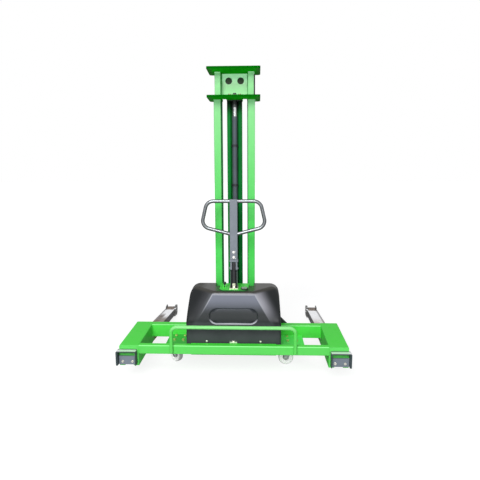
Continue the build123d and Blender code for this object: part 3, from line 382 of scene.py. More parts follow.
BRACKET_GREY = (0.064, 0.084, 0.090)
BRACKET_DEEP = (0.048, 0.064, 0.070)
BRACKET_BARE = (0.86, 0.87, 0.89)
(_, BRACKET_REAR, _), (_, _, BRACKET_TOP) = corners("end_brackets")
RIDGE_Y = BRACKET_REAR + 0.020
BARE_Z = (BRACKET_TOP - 0.0025, BRACKET_TOP - 0.0005)   # the paint is rubbed off above this height
BARE_REACH = (0.019, 0.013)                             # and along the ridge, this far to both sides
BARE_UNEVEN = 0.001                                     # how much the height of that edge varies
bracket_paint, tree, shader, place = new_material("bracket_paint", specular=0.08)
film = use_group(tree, powder_coat, Mottle_scale=18.0)
_, along, height = split_axes(tree, place)
uneven = arithmetic(tree, "ADD", height, times(tree, film.outputs["Mottle"], BARE_UNEVEN))
from_ridge = size_of(tree, arithmetic(tree, "SUBTRACT", along, RIDGE_Y))
bare = times(tree, ramp_between(tree, uneven, *BARE_Z), ramp_between(tree, from_ridge, *BARE_REACH))
grey = mix_colours(tree, film.outputs["Mottle"], BRACKET_DEEP, BRACKET_GREY)
film_over(tree, shader, film, mix_colours(tree, bare, grey, BRACKET_BARE), (0.35, 0.5), peel=0.2)
feed(tree, shader, Metallic=times(tree, bare, 0.4))
dress(bracket_paint, "end_brackets")

plate_paint = paint("end_plate_paint", (0.190, 0.222, 0.262), (0.15, 0.176, 0.210), (0.35, 0.5),
                    scuff=(0.4, 0.4, 0.42), scuff_cut=0.7)
dress(plate_paint, "end_plates")


def plated(name, colour, tint, rough=(0.22, 0.42)):
    """Plated steel: a cloudy tint over the metal, with fine scratches that dull it."""
    material, tree, shader, place = new_material(name, metallic=0.9)
    cloud = noise_value(tree, place, 160.0, 3.0)
    marks = use_group(tree, fine_scratches, Scale=220.0, Cut=0.64)
    metal = mix_colours(tree, ramp_between(tree, cloud, 0.4, 0.65), colour, tint)
    dull = largest(tree, marks.outputs["Mask"], ramp_between(tree, cloud, 0.45, 0.8))
    feed(tree, shader, Base_Color=metal, Roughness=ramp_between(tree, dull, 0.0, 1.0, *rough))
    bump_from(tree, shader, cloud, 0.15, 0.0003)
    return material


white_zinc = plated("white_zinc", (0.78, 0.79, 0.81), (0.62, 0.64, 0.68))
yellow_zinc = plated("yellow_zinc", (0.74, 0.72, 0.34), (0.60, 0.60, 0.30), (0.34, 0.52))
dull_zinc = plated("dull_zinc", (0.90, 0.89, 0.80), (0.78, 0.76, 0.66), (0.45, 0.6))
dress(dull_zinc, "end_plate_bolts")

# Castors: pressed and zinc-plated steel forks on a ball race, held by four yellow-zinc bolts each.
# The wheel is cast in cloudy white nylon round a grey plain-bearing hub, on a riveted axle.
# The tread is slightly crowned and painted darker as shade, and the nylon carries a painted glow.

CASTOR_X, CASTOR_Y, TRAIL = 0.378, -0.417, 0.038
SWIVEL = {"left": np.radians(-40.0), "right": 0.0}
WHEEL_R, WHEEL_HALF, AXLE_R = 0.050, 0.016, 0.00605
HUB_R, HUB_END_R, HUB_HALF = 0.44 * WHEEL_R, 0.30 * WHEEL_R, 0.60 * WHEEL_HALF
TREAD_R = (0.0470, 0.0492)           # painted shade on the tread starts this far from the wheel's centre
NYLON, NYLON_PALE = (0.82, 0.83, 0.83), (0.90, 0.90, 0.89)
# streaks of dirt, and painted shade on the tread
NYLON_DIRT, TREAD_SHADE = (0.62, 0.63, 0.64), (0.30, 0.30, 0.30)
# colours of the painted glow, weaker on the tread
NYLON_GLOW, TREAD_GLOW = (0.95, 0.95, 0.94), (0.50, 0.50, 0.50)
dress(white_zinc, "castor_tops", "left_castor_fork", "right_castor_fork")
dress(yellow_zinc, "castor_bolts")


def turned(profile, centre, axis, steps=72):
    """A profile of (distance along the axis, radius) turned once about an axis through the centre."""
    profile = np.array(profile, float)
    axis = np.array(axis, float)
    first = np.cross(axis, (0.3, 0.5, 0.81))
    first /= np.linalg.norm(first)
    second = np.cross(axis, first)
    angle = np.linspace(0.0, 2.0 * np.pi, steps, endpoint=False)
    ring = np.cos(angle)[:, None] * first + np.sin(angle)[:, None] * second
    return np.array(centre) + profile[:, 0, None, None] * axis + profile[:, 1, None, None] * ring[None]


def rounded(points, radius, steps=4):
    """A profile whose corners are replaced by arcs: each is a blend of its two tangent points and the
    corner."""
    points = np.array(points, float)
    kept = [points[:1]]
    t = np.linspace(0.0, 1.0, steps)[:, None]
    for before, corner, after in zip(points[:-2], points[1:-1], points[2:]):
        back, on = before - corner, after - corner
        reach = min(radius, 0.45 * np.linalg.norm(back), 0.45 * np.linalg.norm(on))
        a = corner + back / np.linalg.norm(back) * reach
        b = corner + on / np.linalg.norm(on) * reach
        kept.append((1 - t) ** 2 * a + 2 * t * (1 - t) * corner + t ** 2 * b)
    kept.append(points[-1:])
    return np.concatenate(kept)


wheels = []
for name, side in (("left", -1), ("right", 1)):
    ahead = np.array([np.cos(SWIVEL[name]), np.sin(SWIVEL[name])])
    centre = (side * CASTOR_X - TRAIL * ahead[0], CASTOR_Y - TRAIL * ahead[1], WHEEL_R)
    wheels.append((name, centre, (-ahead[1], ahead[0], 0.0)))

nylon, tree, shader, place = new_material("cloudy_nylon")
shader.inputs["Subsurface Weight"].default_value = 0.25
shader.inputs["Subsurface Radius"].default_value = (0.004, 0.004, 0.004)
shader.inputs["Emission Strength"].default_value = 0.32   # a painted glow, standing in for light thrown up from the floor
from_centre = []
for _, centre, _ in wheels:
    gap = add_node(tree, "ShaderNodeVectorMath", {"operation": "DISTANCE"}, i0=place, i1=centre)
    from_centre.append(gap.outputs["Value"])
tread = ramp_between(tree, arithmetic(tree, "MINIMUM", *from_centre), *TREAD_R)
streak = noise_value(tree, place, 90.0, 5.0, 0.7)
film = use_group(tree, powder_coat, Mottle_scale=30.0)
dirty = ramp_between(tree, streak, 0.52, 0.75)
cast = mix_colours(tree, film.outputs["Mottle"], NYLON, NYLON_PALE)
cast = mix_colours(tree, dirty, cast, NYLON_DIRT)
feed(tree, shader, Base_Color=mix_colours(tree, tread, cast, TREAD_SHADE),
     Emission_Color=mix_colours(tree, tread, NYLON_GLOW, TREAD_GLOW),
     Roughness=ramp_between(tree, dirty, 0.0, 1.0, 0.22, 0.5))
bump_from(tree, shader, streak, 0.15, 0.0005)
hub_grey = paint("hub_plastic", (0.26, 0.27, 0.29), (0.20, 0.21, 0.23), (0.35, 0.5),
                 scuff=(0.4, 0.4, 0.4), scuff_cut=0.75)

# One side of the tyre's profile, in parts of its half width and of its radius
tyre_side = [(-0.62, 0.42), (-0.62, 0.76), (-1.0, 0.80), (-1.0, 0.93), (-0.75, 0.985), (0.0, 1.0)]
tyre_side = [(part * WHEEL_HALF, ring * WHEEL_R) for part, ring in tyre_side]
tyre_profile = rounded(tyre_side + [(-a, r) for a, r in reversed(tyre_side[:-1])], 0.003)
hub_side = [(-WHEEL_HALF, AXLE_R), (-WHEEL_HALF, HUB_END_R), (-HUB_HALF, HUB_R)]
hub_profile = rounded(hub_side + [(-a, r) for a, r in reversed(hub_side)] + hub_side[:1], 0.002)
for name, centre, axle in wheels:
    body = f"{name}_castor_roll"
    tyre = part_piece(f"{name}_castor_tyre", [turned(tyre_profile, centre, axle)], nylon, body, True)
    part_piece(f"{name}_castor_hub", [turned(hub_profile, centre, axle)], hub_grey, body, True)
    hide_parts(f"{name}_castor_wheel")

# Push bar: one length of round tube bent twice and welded to the rear beam.
# The coat is the frame's, with a painted highlight that makes it paler along the top.

PUSH_LOW, PUSH_TOP_LIGHT = (0.108, 0.610, 0.102), (0.235, 0.690, 0.225)
_, (_, _, HANDLE_TOP) = corners("push_bar")
TOP_LIGHT_Z = (HANDLE_TOP - 0.042, HANDLE_TOP - 0.005)
push_coat, tree, shader, place = new_material("push_bar_coat", coat=0.05, specular=PAINT_SHINE)
film = use_group(tree, powder_coat)
_, _, height = split_axes(tree, place)
# painted highlight: the top of the bar is paler
wear_and_light = ramp_between(tree, height, *TOP_LIGHT_Z)
film_over(tree, shader, film, mix_colours(tree, wear_and_light, PUSH_LOW, PUSH_TOP_LIGHT), (0.26, 0.38))
dress(push_coat, "push_bar")

# Front legs: inverted channels of bare steel, hinged in the rails, with a roller between two ears.
# The top is ground bright by loads; the sides are dark with mill scale, and rust has started by the
# beam. The left leg is the dirtier one. The rollers are dusty cast nylon on a steel axle.

LEG_FALL = 0.1104       # how much a leg's top drops per metre of length
LEG_TOP = 0.12855       # height of the top's plane above the origin
LEG_FROM, LEG_UNTIL = (LEG_TOP - 0.0014, LEG_TOP - 0.0004), (LEG_TOP + 0.0030, LEG_TOP + 0.0015)
TIP_Y, RIM_X, RIGHT_TO_LEFT = (0.42, 0.49), (0.650, 0.661), (0.1, -0.1)
SOIL_X, SOIL_Y, GRIME_Y = (-0.612, -0.632), (0.38, 0.24), (0.27, 0.13)
RUST_FROM, RUST_UNTIL = (-0.310, -0.295), (0.30, -0.20)
LEG_BRIGHT, LEG_RUST = (0.94, 0.95, 0.97), (0.26, 0.105, 0.045)
SCALE_DARK, SCALE_PALE, SCALE_TIP = (0.050, 0.052, 0.056), (0.115, 0.115, 0.120), (0.165, 0.165, 0.155)
SOIL_BROWN, SOIL_GREY = (0.085, 0.034, 0.018), (0.090, 0.066, 0.048)
GRIME, RIM_GREY = (0.180, 0.172, 0.150), (0.230, 0.220, 0.222)
LEG_GLOW = 0.14         # stands in for the studio light that the polished top mirrors
leg_steel, tree, shader, place = new_material("worn_leg_steel")
shader.inputs["Emission Strength"].default_value = 1.0
across, along, height = split_axes(tree, place)
above = arithmetic(tree, "ADD", height, times(tree, along, LEG_FALL))
patch = noise_value(tree, place, 26.0, 6.0, 0.65)
marks = use_group(tree, fine_scratches, Scale=60.0, Cut=0.60)
top_face = times(tree, ramp_between(tree, above, *LEG_FROM), ramp_between(tree, above, *LEG_UNTIL))
wear_and_light = times(tree, top_face, ramp_between(tree, patch, 0.26, 0.46, 0.75, 1.0))
bright = largest(tree, wear_and_light, times(tree, marks.outputs["Mask"], 0.35))
mill_scale = mix_colours(tree, patch, SCALE_DARK, SCALE_PALE)
mill_scale = mix_colours(tree, ramp_between(tree, along, *TIP_Y, 0.0, 0.75), mill_scale, SCALE_TIP)
metal = mix_colours(tree, bright, mill_scale, LEG_BRIGHT)
soiled = times(tree, ramp_between(tree, across, *SOIL_X), ramp_between(tree, along, *SOIL_Y),
               ramp_between(tree, patch, 0.30, 0.52, 0.75, 1.0))
soil = mix_colours(tree, ramp_between(tree, patch, 0.42, 0.60), SOIL_BROWN, SOIL_GREY)
metal = mix_colours(tree, soiled, metal, soil)
grimy = times(tree, ramp_between(tree, along, *GRIME_Y, 0.0, 0.85),
              ramp_between(tree, across, *RIGHT_TO_LEFT))
metal = mix_colours(tree, times(tree, grimy, top_face), metal, GRIME)
rim = times(tree, top_face, ramp_between(tree, size_of(tree, across), *RIM_X, 0.0, 0.8))
metal = mix_colours(tree, rim, metal, RIM_GREY)
rust = times(tree, ramp_between(tree, along, *RUST_UNTIL), ramp_between(tree, along, *RUST_FROM),
             ramp_between(tree, patch, 0.34, 0.52))
dull = largest(tree, rust, soiled, rim, grimy)
polish = times(tree, bright, arithmetic(tree, "SUBTRACT", 1.0, dull))
feed(tree, shader, Base_Color=mix_colours(tree, rust, metal, LEG_RUST), Metallic=times(tree, polish, 0.8),
     Emission_Color=times(tree, top_face, polish, LEG_GLOW),
     Roughness=ramp_between(tree, rust, 0.0, 1.0, 0.38, 0.8))
bump_from(tree, shader, patch, 0.25, 0.001)
dress(leg_steel, "left_leg", "right_leg")

ROLLER_BROWN, ROLLER_DUST = (0.160, 0.128, 0.112), (0.600, 0.510, 0.440)
roller_nylon, tree, shader, place = new_material("roller_plastic")
grit = noise_value(tree, place, 140.0, 6.0, 0.7)
dusty = ramp_between(tree, grit, 0.48, 0.72)
feed(tree, shader, Base_Color=mix_colours(tree, dusty, ROLLER_BROWN, ROLLER_DUST),
     Roughness=ramp_between(tree, dusty, 0.0, 1.0, 0.4, 0.7))
bump_from(tree, shader, grit, 0.3, 0.0008)
dress(roller_nylon, "left_leg_roller", "right_leg_roller")

ground_steel = plated("ground_steel", (0.58, 0.58, 0.60), (0.45, 0.45, 0.47), (0.25, 0.45))
dress(ground_steel, "left_leg_axle", "right_leg_axle", "leg_hinge_pins")

# Power unit on the tray: a sealed battery, an oil tank, a pump block with its motor, and a hose.
# All of it stands under the cover and shows only from behind the mast.
# Cases are moulded plastic, the motor and block are painted steel, the hose is rubber.


def moulded(name, colour, pale, grain=700.0, rough=(0.38, 0.55)):
    """Moulded plastic: a faint mottle, a rub mask and a fine eroded grain."""
    material, tree, shader, _ = new_material(name)
    film = use_group(tree, powder_coat, Mottle_scale=9.0, Peel_scale=grain)
    skin = mix_colours(tree, film.outputs["Mottle"], colour, pale)
    film_over(tree, shader, film, skin, rough, peel=0.35, depth=0.0005)
    return material


battery_case = moulded("battery_case", (0.030, 0.031, 0.034), (0.045, 0.046, 0.050))
tank_case = moulded("tank_case", (0.55, 0.55, 0.50), (0.64, 0.63, 0.58), 300.0)
hose_cover = moulded("hose_cover", (0.018, 0.018, 0.018), (0.030, 0.030, 0.030), 500.0, (0.6, 0.75))
black_coat = paint("black_coat", (0.018, 0.018, 0.020), (0.012, 0.012, 0.013), (0.28, 0.42),
                   scuff=(0.06, 0.06, 0.06), coat=0.2)
dress(battery_case, "battery")
dress(tank_case, "oil_tank")
dress(hose_cover, "hydraulic_hose")
dress(black_coat, "pump_unit")

# Cover: one moulding in charcoal plastic with a raised front panel, side facets that fall back towards
# the top, and a bare oblong recess. It stands on the tray, held by two screws and a wing latch.
# The front has a fine grain and carries painted light and shade; the top is smoother and catches the light.

(_, COVER_FRONT, _), (COVER_HALF, COVER_BACK, COVER_TOP) = corners("cover")
COVER_FOOT = PLATE_Z + 0.0005
COVER_NOTCH_X, COVER_NOTCH = 0.122, -0.495   # half the width of the cut for the mast, and its start
COVER_LEAN = 0.20                            # how far the front leans back per height
SIDE_X, SIDE_Z = 0.290, 0.365                # a point of the side, where it starts to draw in
SHOULDER_X, SHOULDER_Z, SHOULDER_R = 0.2270, 0.503, 0.0550
SHOULDER_START = 0.057                       # angle at which the shoulder leaves the side
FACET_LOW_Z, FACET_LOW_X, FACET_TOP_X, FACET_FALL = 0.380, 0.224, 0.122, 1.05
WAIST_ROUND, CREASE_ROUND = 0.014, 0.007     # how softly the front bends at the waist and at the panel
RECESS_HALF, RECESS_R, RECESS_Z, RECESS_DEPTH = 0.154, 0.0505, 0.412, 0.0080
RECESS_SLOPE = 0.0095                        # width of the sloping wall around the recess
# That wall's profile, in parts of its width and of the recess's depth
RECESS_WALL = ((1.0, 1.0), (0.82, 0.95), (0.62, 0.75), (0.38, 0.33), (0.18, 0.07), (0.0, 0.0))
SKIN_ROWS = 7                                # rows of points in each half of the cover's skin
COVER_EDGE, COVER_WALL = 0.013, 0.004
CHARCOAL, CHARCOAL_PALE = (0.040, 0.047, 0.049), (0.050, 0.057, 0.060)
# painted shade on the waist and the facets, painted reflection on the upper panel
WAIST_SHADE, PANEL_REFLECTION, FACET_SHADE = (0.014, 0.017, 0.018), (0.150, 0.162, 0.205), (0.010, 0.012, 0.013)
# painted sheen and painted highlights, and the top's own brownish grey
SHEEN_GREY, CREASE_HIGHLIGHT, TOP_GREY = (0.320, 0.320, 0.360), (0.38, 0.39, 0.43), (0.042, 0.040, 0.035)


def ray_lengths(angles, points):
    """How far rays from (0, RECESS_Z) at these angles run to a closed outline of points."""
    origin = np.array([0.0, RECESS_Z])
    ray = np.stack([np.cos(angles), np.sin(angles)], -1)[:, None]
    a = points[None] - origin
    edge = np.roll(points, -1, axis=0)[None] - points[None]
    cross = ray[..., 0] * edge[..., 1] - ray[..., 1] * edge[..., 0]
    cross = np.where(np.abs(cross) < 1e-12, 1e-12, cross)
    far = (a[..., 0] * edge[..., 1] - a[..., 1] * edge[..., 0]) / cross
    part = (a[..., 0] * ray[..., 1] - a[..., 1] * ray[..., 0]) / cross
    return np.where((far > 0) & (part > -1e-9) & (part < 1 + 1e-9), far, np.inf).min(axis=1)


def front_depth(x, z):
    """How far the cover's front lies behind its foremost plane. Above the waist it leans back in
    proportion to the height. Outside the panel's slanting sides it falls back in proportion to the
    distance from them, and the more so the higher. Both bends are rounded like a hyperbola."""
    rise = np.clip((z - FACET_LOW_Z) / (COVER_TOP - FACET_LOW_Z), 0.0, 1.0)
    panel = FACET_LOW_X + (FACET_TOP_X - FACET_LOW_X) * rise
    past = np.abs(x) - panel
    over = z - FACET_LOW_Z
    lean = COVER_LEAN * 0.5 * (over + np.sqrt(over ** 2 + WAIST_ROUND ** 2))
    return lean + FACET_FALL * rise * 0.5 * (past + np.sqrt(past ** 2 + CREASE_ROUND ** 2))


bend = np.linspace(SHOULDER_START, 0.5 * np.pi, 12)
shoulder = np.stack([SHOULDER_X + SHOULDER_R * np.cos(bend), SHOULDER_Z + SHOULDER_R * np.sin(bend)], -1)
right_half = np.concatenate([[(COVER_HALF, COVER_FOOT), (SIDE_X, SIDE_Z)], shoulder])
outline = np.concatenate([right_half, right_half[::-1] * (-1, 1)])
foot_angles = np.arctan2(COVER_FOOT - RECESS_Z, np.array([-COVER_HALF, COVER_HALF]))
notch_angles = np.arctan2(COVER_TOP - RECESS_Z, np.array([COVER_NOTCH_X, -COVER_NOTCH_X]))
angles = np.linspace(-np.pi, np.pi, 360, endpoint=False)
angles = np.sort(np.concatenate([angles, foot_angles, notch_angles]))
bend = np.linspace(-0.5 * np.pi, 0.5 * np.pi, 24)
end_cap = np.stack([RECESS_HALF - RECESS_R + RECESS_R * np.cos(bend), RECESS_Z + RECESS_R * np.sin(bend)], -1)
oblong = np.concatenate([end_cap, (0.0, 2 * RECESS_Z) - end_cap])
to_outline = ray_lengths(angles, outline)
to_recess = ray_lengths(angles, oblong)
ray = np.stack([np.cos(angles), np.sin(angles)], -1)
rows = []


def cover_row(reach, extra):
    """One ring of the cover's front at a distance from the recess's centre, set back by extra."""
    x = ray[:, 0] * reach
    z = RECESS_Z + ray[:, 1] * reach
    return np.stack([x, COVER_FRONT + front_depth(x, z) + extra, z], -1)


for part in (0.0, 0.25, 0.5, 0.75):
    rows.append(cover_row(to_recess * part, RECESS_DEPTH))
for inset, depth in RECESS_WALL:
    rows.append(cover_row(to_recess - RECESS_SLOPE * inset, RECESS_DEPTH * depth))
for part in np.linspace(0.0, 1.0, 40)[1:]:
    rows.append(cover_row(to_recess + (to_outline - COVER_EDGE - to_recess) * part, 0.0))
for bend in np.linspace(0.0, 0.5 * np.pi, 9)[1:]:
    rows.append(cover_row(to_outline - COVER_EDGE * (1 - np.sin(bend)), COVER_EDGE * (1 - np.cos(bend))))
face_count = len(rows)
brow = rows[-1]
middle = np.maximum(COVER_NOTCH, brow[:, 1] + COVER_WALL)
for start, stop in ((brow[:, 1], middle), (middle, np.full(len(angles), COVER_BACK))):
    for part in np.linspace(0.0, 1.0, SKIN_ROWS + 1)[1:]:
        rows.append(np.stack([brow[:, 0], start + (stop - start) * part, brow[:, 2]], -1))
shell = np.stack(rows)
shell[..., 2] = np.maximum(shell[..., 2], COVER_FOOT)
first = int(np.argmin(np.abs(angles - foot_angles[1])))
shell = np.roll(shell, -first, axis=1)
turned_angles = np.roll(angles, -first)
last = int(np.argmin(np.abs(turned_angles - foot_angles[0])))
notch = [int(np.argmin(np.abs(turned_angles - angle))) for angle in notch_angles]
cover_face = np.concatenate([shell[:face_count], shell[:face_count, :1]], axis=1)
cover_skin = shell[face_count - 1:face_count + SKIN_ROWS, :last + 1]
behind_notch = shell[face_count + SKIN_ROWS - 1:]
beside_mast = [behind_notch[:, :notch[0] + 1], behind_notch[:, notch[1]:last + 1]]

WAIST_FROM, WAIST_UNTIL, PANEL_Z, FACET_Z = (0.365, 0.385), (0.520, 0.440), (0.420, 0.530), (0.33, 0.39)
SHEEN_Z, CREASE_Z, BROW_Z, TOPSIDE_Z = (0.36, 0.50), (0.40, 0.54), (0.5375, 0.5410), (0.540, 0.556)
SCUFF_X, LIP_BELOW, LIP_REACH = (-0.17, -0.23), (-0.012, -0.038), (0.0050, 0.0020)
PANEL_PAST, FACET_PAST = (0.006, -0.004), (0.004, 0.030)      # distances past the panel's slanting side
SHEEN_PAST, SHEEN_TAIL = (-0.002, 0.003), (0.100, 0.002)
CREASE_PAST, BROW_PAST = (0.0060, 0.001), (0.002, -0.002)
cover_plastic, tree, shader, place = new_material("cover_plastic", coat=0.03, coat_rough=0.3, specular=0.2)
film = use_group(tree, powder_coat, Mottle_scale=7.0, Peel_scale=620.0)
across, _, height = split_axes(tree, place)
aside = size_of(tree, across)
slant = (FACET_TOP_X - FACET_LOW_X) / (COVER_TOP - FACET_LOW_Z)
panel_half = arithmetic(tree, "ADD", times(tree, height, slant), FACET_LOW_X - FACET_LOW_Z * slant)
past = arithmetic(tree, "SUBTRACT", aside, panel_half)
# painted shade: a darker band across the waist
waist = times(tree, ramp_between(tree, height, *WAIST_FROM), ramp_between(tree, height, *WAIST_UNTIL), 0.75)
# painted reflection: the upper panel is paler
on_panel = times(tree, ramp_between(tree, past, *PANEL_PAST), ramp_between(tree, height, *PANEL_Z))
# painted shade: the facets are darker
on_facet = times(tree, ramp_between(tree, past, *FACET_PAST), ramp_between(tree, height, *FACET_Z))
# painted sheen beside the panel's slanting sides, stronger on the right
tail = arithmetic(tree, "POWER", ramp_between(tree, past, *SHEEN_TAIL), 1.5)
sheen = times(tree, ramp_between(tree, past, *SHEEN_PAST), tail, ramp_between(tree, height, *SHEEN_Z),
              ramp_between(tree, across, *LEFT_TO_RIGHT, 0.14, 1.0))
# painted highlights along the panel's creases and its brow
from_crease = size_of(tree, past)
crease = times(tree, ramp_between(tree, from_crease, *CREASE_PAST), ramp_between(tree, height, *CREASE_Z))
brow_line = times(tree, ramp_between(tree, height, *BROW_Z), ramp_between(tree, past, *BROW_PAST))
crease = largest(tree, crease, times(tree, brow_line, 0.9))
# painted highlight on the recess's lower lip
beyond = largest(tree, arithmetic(tree, "SUBTRACT", aside, RECESS_HALF - RECESS_R), 0.0)
below = arithmetic(tree, "SUBTRACT", height, RECESS_Z)
square = arithmetic(tree, "ADD", times(tree, beyond, beyond), times(tree, below, below))
from_axis = arithmetic(tree, "POWER", square, 0.5)
from_lip = size_of(tree, arithmetic(tree, "SUBTRACT", from_axis, RECESS_R - 0.45 * RECESS_SLOPE))
lip = times(tree, ramp_between(tree, from_lip, *LIP_REACH), ramp_between(tree, below, *LIP_BELOW))
topside = ramp_between(tree, height, *TOPSIDE_Z)
grey = mix_colours(tree, film.outputs["Mottle"], CHARCOAL, CHARCOAL_PALE)
highlight_lines = largest(tree, times(tree, crease, 0.8), lip)
for mask, shade in ((waist, WAIST_SHADE), (on_panel, PANEL_REFLECTION), (on_facet, FACET_SHADE), (sheen, SHEEN_GREY),
                    (highlight_lines, CREASE_HIGHLIGHT), (topside, TOP_GREY)):
    grey = mix_colours(tree, mask, grey, shade)
scuffed = ramp_between(tree, across, *SCUFF_X, 0.0, 0.25)
grain_rough = arithmetic(tree, "ADD", rub_between(tree, film, 0.36, 0.46), scuffed)
grain_rough = arithmetic(tree, "SUBTRACT", grain_rough, times(tree, topside, 0.08))
feed(tree, shader, Base_Color=grey, Roughness=grain_rough)
bump_from(tree, shader, film.outputs["Peel"], 0.2, 0.0004)
cover_grids = [cover_face, cover_skin, *beside_mast]
cover = part_piece("cover_shell", cover_grids, cover_plastic, "chassis")
weld = cover.modifiers.new("join", "WELD")
weld.merge_threshold = 1e-5
wall = cover.modifiers.new("wall", "SOLIDIFY")
wall.thickness = COVER_WALL
wall.offset = -1.0
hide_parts("cover")
dress(dull_zinc, "cover_screws", "cover_latch")

# Mast pillar and lift cylinder: a lipped channel, painted a darker green, with a slim grey barrel
# clamped inside and a chromed rod with a blackened boss. Black slide pads run on its sides.

# Painted shade darkens the channel's right half, and a painted shadow its top.
PILLAR_GREEN, PILLAR_PALE = (0.003, 0.145, 0.020), (0.004, 0.185, 0.026)
PILLAR_RIGHT_SHADE, PILLAR_TOP_SHADOW = (0.001, 0.060, 0.012), (0.001, 0.018, 0.006)   # painted shade on its right half, and painted shadow at its top
CHROME, CHROME_OILY, CHROME_HIGHLIGHT = (0.40, 0.41, 0.43), (0.34, 0.35, 0.37), (0.95, 0.95, 0.96)
ROD_STEEL, BOSS_BLACK = (0.085, 0.090, 0.095), (0.020, 0.022, 0.023)
SHADE_X, SHADOW_Z, LIT_X = (-0.01, 0.01), (1.63, 1.725), (-0.004, 0.002)
CHROME_END, BOSS_START = (1.6905, 1.6915), (1.7055, 1.7075)
pillar_coat, tree, shader, place = new_material("pillar_coat", specular=0.03)
film = use_group(tree, powder_coat)
across, _, height = split_axes(tree, place)
green = mix_colours(tree, film.outputs["Mottle"], PILLAR_GREEN, PILLAR_PALE)
green = mix_colours(tree, ramp_between(tree, across, *SHADE_X, 0.0, 0.4), green, PILLAR_RIGHT_SHADE)
green = mix_colours(tree, ramp_between(tree, height, *SHADOW_Z), green, PILLAR_TOP_SHADOW)
film_over(tree, shader, film, green, (0.45, 0.6))
dress(pillar_coat, "centre_pillar")

barrel_paint = paint("barrel_paint", (0.085, 0.105, 0.120), (0.065, 0.080, 0.092), (0.28, 0.4),
                     scuff=(0.2, 0.2, 0.22), coat=0.1)
charcoal_coat = paint("charcoal_coat", (0.040, 0.043, 0.047), (0.028, 0.030, 0.034), (0.35, 0.5),
                      scuff=(0.2, 0.2, 0.21), coat=0.1)
dress(barrel_paint, "cylinder_barrel")
dress(charcoal_coat, "cylinder_clamps", "fork_carriage")
dress(moulded("pad_nylon", (0.050, 0.050, 0.052), (0.080, 0.080, 0.082), 400.0), "guide_pads")

hard_chrome, tree, shader, place = new_material("hard_chrome")
oil = noise_value(tree, place, 30.0, 2.0)
across, _, height = split_axes(tree, place)
past_chrome = ramp_between(tree, height, *CHROME_END)
boss = ramp_between(tree, height, *BOSS_START)
chrome = mix_colours(tree, oil, CHROME, CHROME_OILY)
# painted highlight down the rod's right side
chrome = mix_colours(tree, ramp_between(tree, across, *LIT_X), chrome, CHROME_HIGHLIGHT)
steel = mix_colours(tree, past_chrome, chrome, ROD_STEEL)
feed(tree, shader, Base_Color=mix_colours(tree, boss, steel, BOSS_BLACK),
     Metallic=ramp_between(tree, past_chrome, 0.0, 1.0, 0.6, 0.0),
     Roughness=ramp_between(tree, arithmetic(tree, "ADD", oil, boss), 0.35, 1.5, 0.12, 0.5))
dress(hard_chrome, "piston_rod")

# Mast columns and head: two rolled channels with plates welded across the top, powder coated like
# the frame. The head stands in the light: painted light makes it paler, and painted shade darkens the plates.

MAST_GREEN, MAST_PALE = (0.054, 0.560, 0.076), (0.070, 0.605, 0.098)
# painted shade on the outer flange edges and on the faces between the flanges
MAST_EDGE_SHADE, MAST_INSIDE_SHADE, HEAD_INSIDE_SHADE = (0.020, 0.250, 0.040), (0.011, 0.235, 0.045), (0.110, 0.500, 0.140)
# painted light at the top of the head's plate
HEAD_TOP_LIGHT = (0.640, 0.970, 0.640)
# the head plates are painted a deeper green than the columns, as shade on their undersides; painted shade
# greys their cut corners and darkens their rear edges
PLATE_GREEN, PLATE_PALE = (0.010, 0.440, 0.008), (0.014, 0.520, 0.012)
PLATE_OUTER_SHADE, PLATE_EDGE_SHADE = (0.060, 0.290, 0.052), (0.001, 0.115, 0.002)
NUT_ZINC, NUT_PALE, NUT_THREAD = (0.300, 0.440, 0.230), (0.380, 0.520, 0.290), (0.030, 0.034, 0.024)
(COLUMN_IN, COLUMN_REAR, _), (COLUMN_OUT, COLUMN_FRONT, HEAD_CEILING) = corners("right_mast_column")
(_, PLATE_BACK, HEAD_UNDER), (_, _, HEAD_FLOOR) = corners("head_lower_plate")
STEP_IN = 0.008                      # the columns are this much slimmer inside the head
PLATE_CORNER = 0.150                 # the plates' cut corners start here, each way from the middle
SEAM_IN = 0.007                      # the beads start this far from the columns' inner edges
CARRIAGE_SEAM_Y, CARRIAGE_SEAM_Z = -0.313, (0.264, 0.518)
MARGIN = 0.0005                      # faces this close to a plane count as lying in it
# heights of the painted light up the mast and on the head's plate
HEAD_LIGHT_Z, PALEST_Z = (0.70, 2.50), (1.79, 1.89)
GLOW_Z, GLOW_BELOW_Z = (1.830, 1.872), (1.645, 1.715)   # under the top plate and under the lower one
FLANGE_EDGE = (COLUMN_OUT - 0.0055, COLUMN_OUT - 0.0015)
OUTER_X = (0.118, PLATE_CORNER)
PLATE_EDGE_Y = (PLATE_BACK + 0.0004, PLATE_BACK + 0.0020)
THREAD_X = (0.010, 0.007)


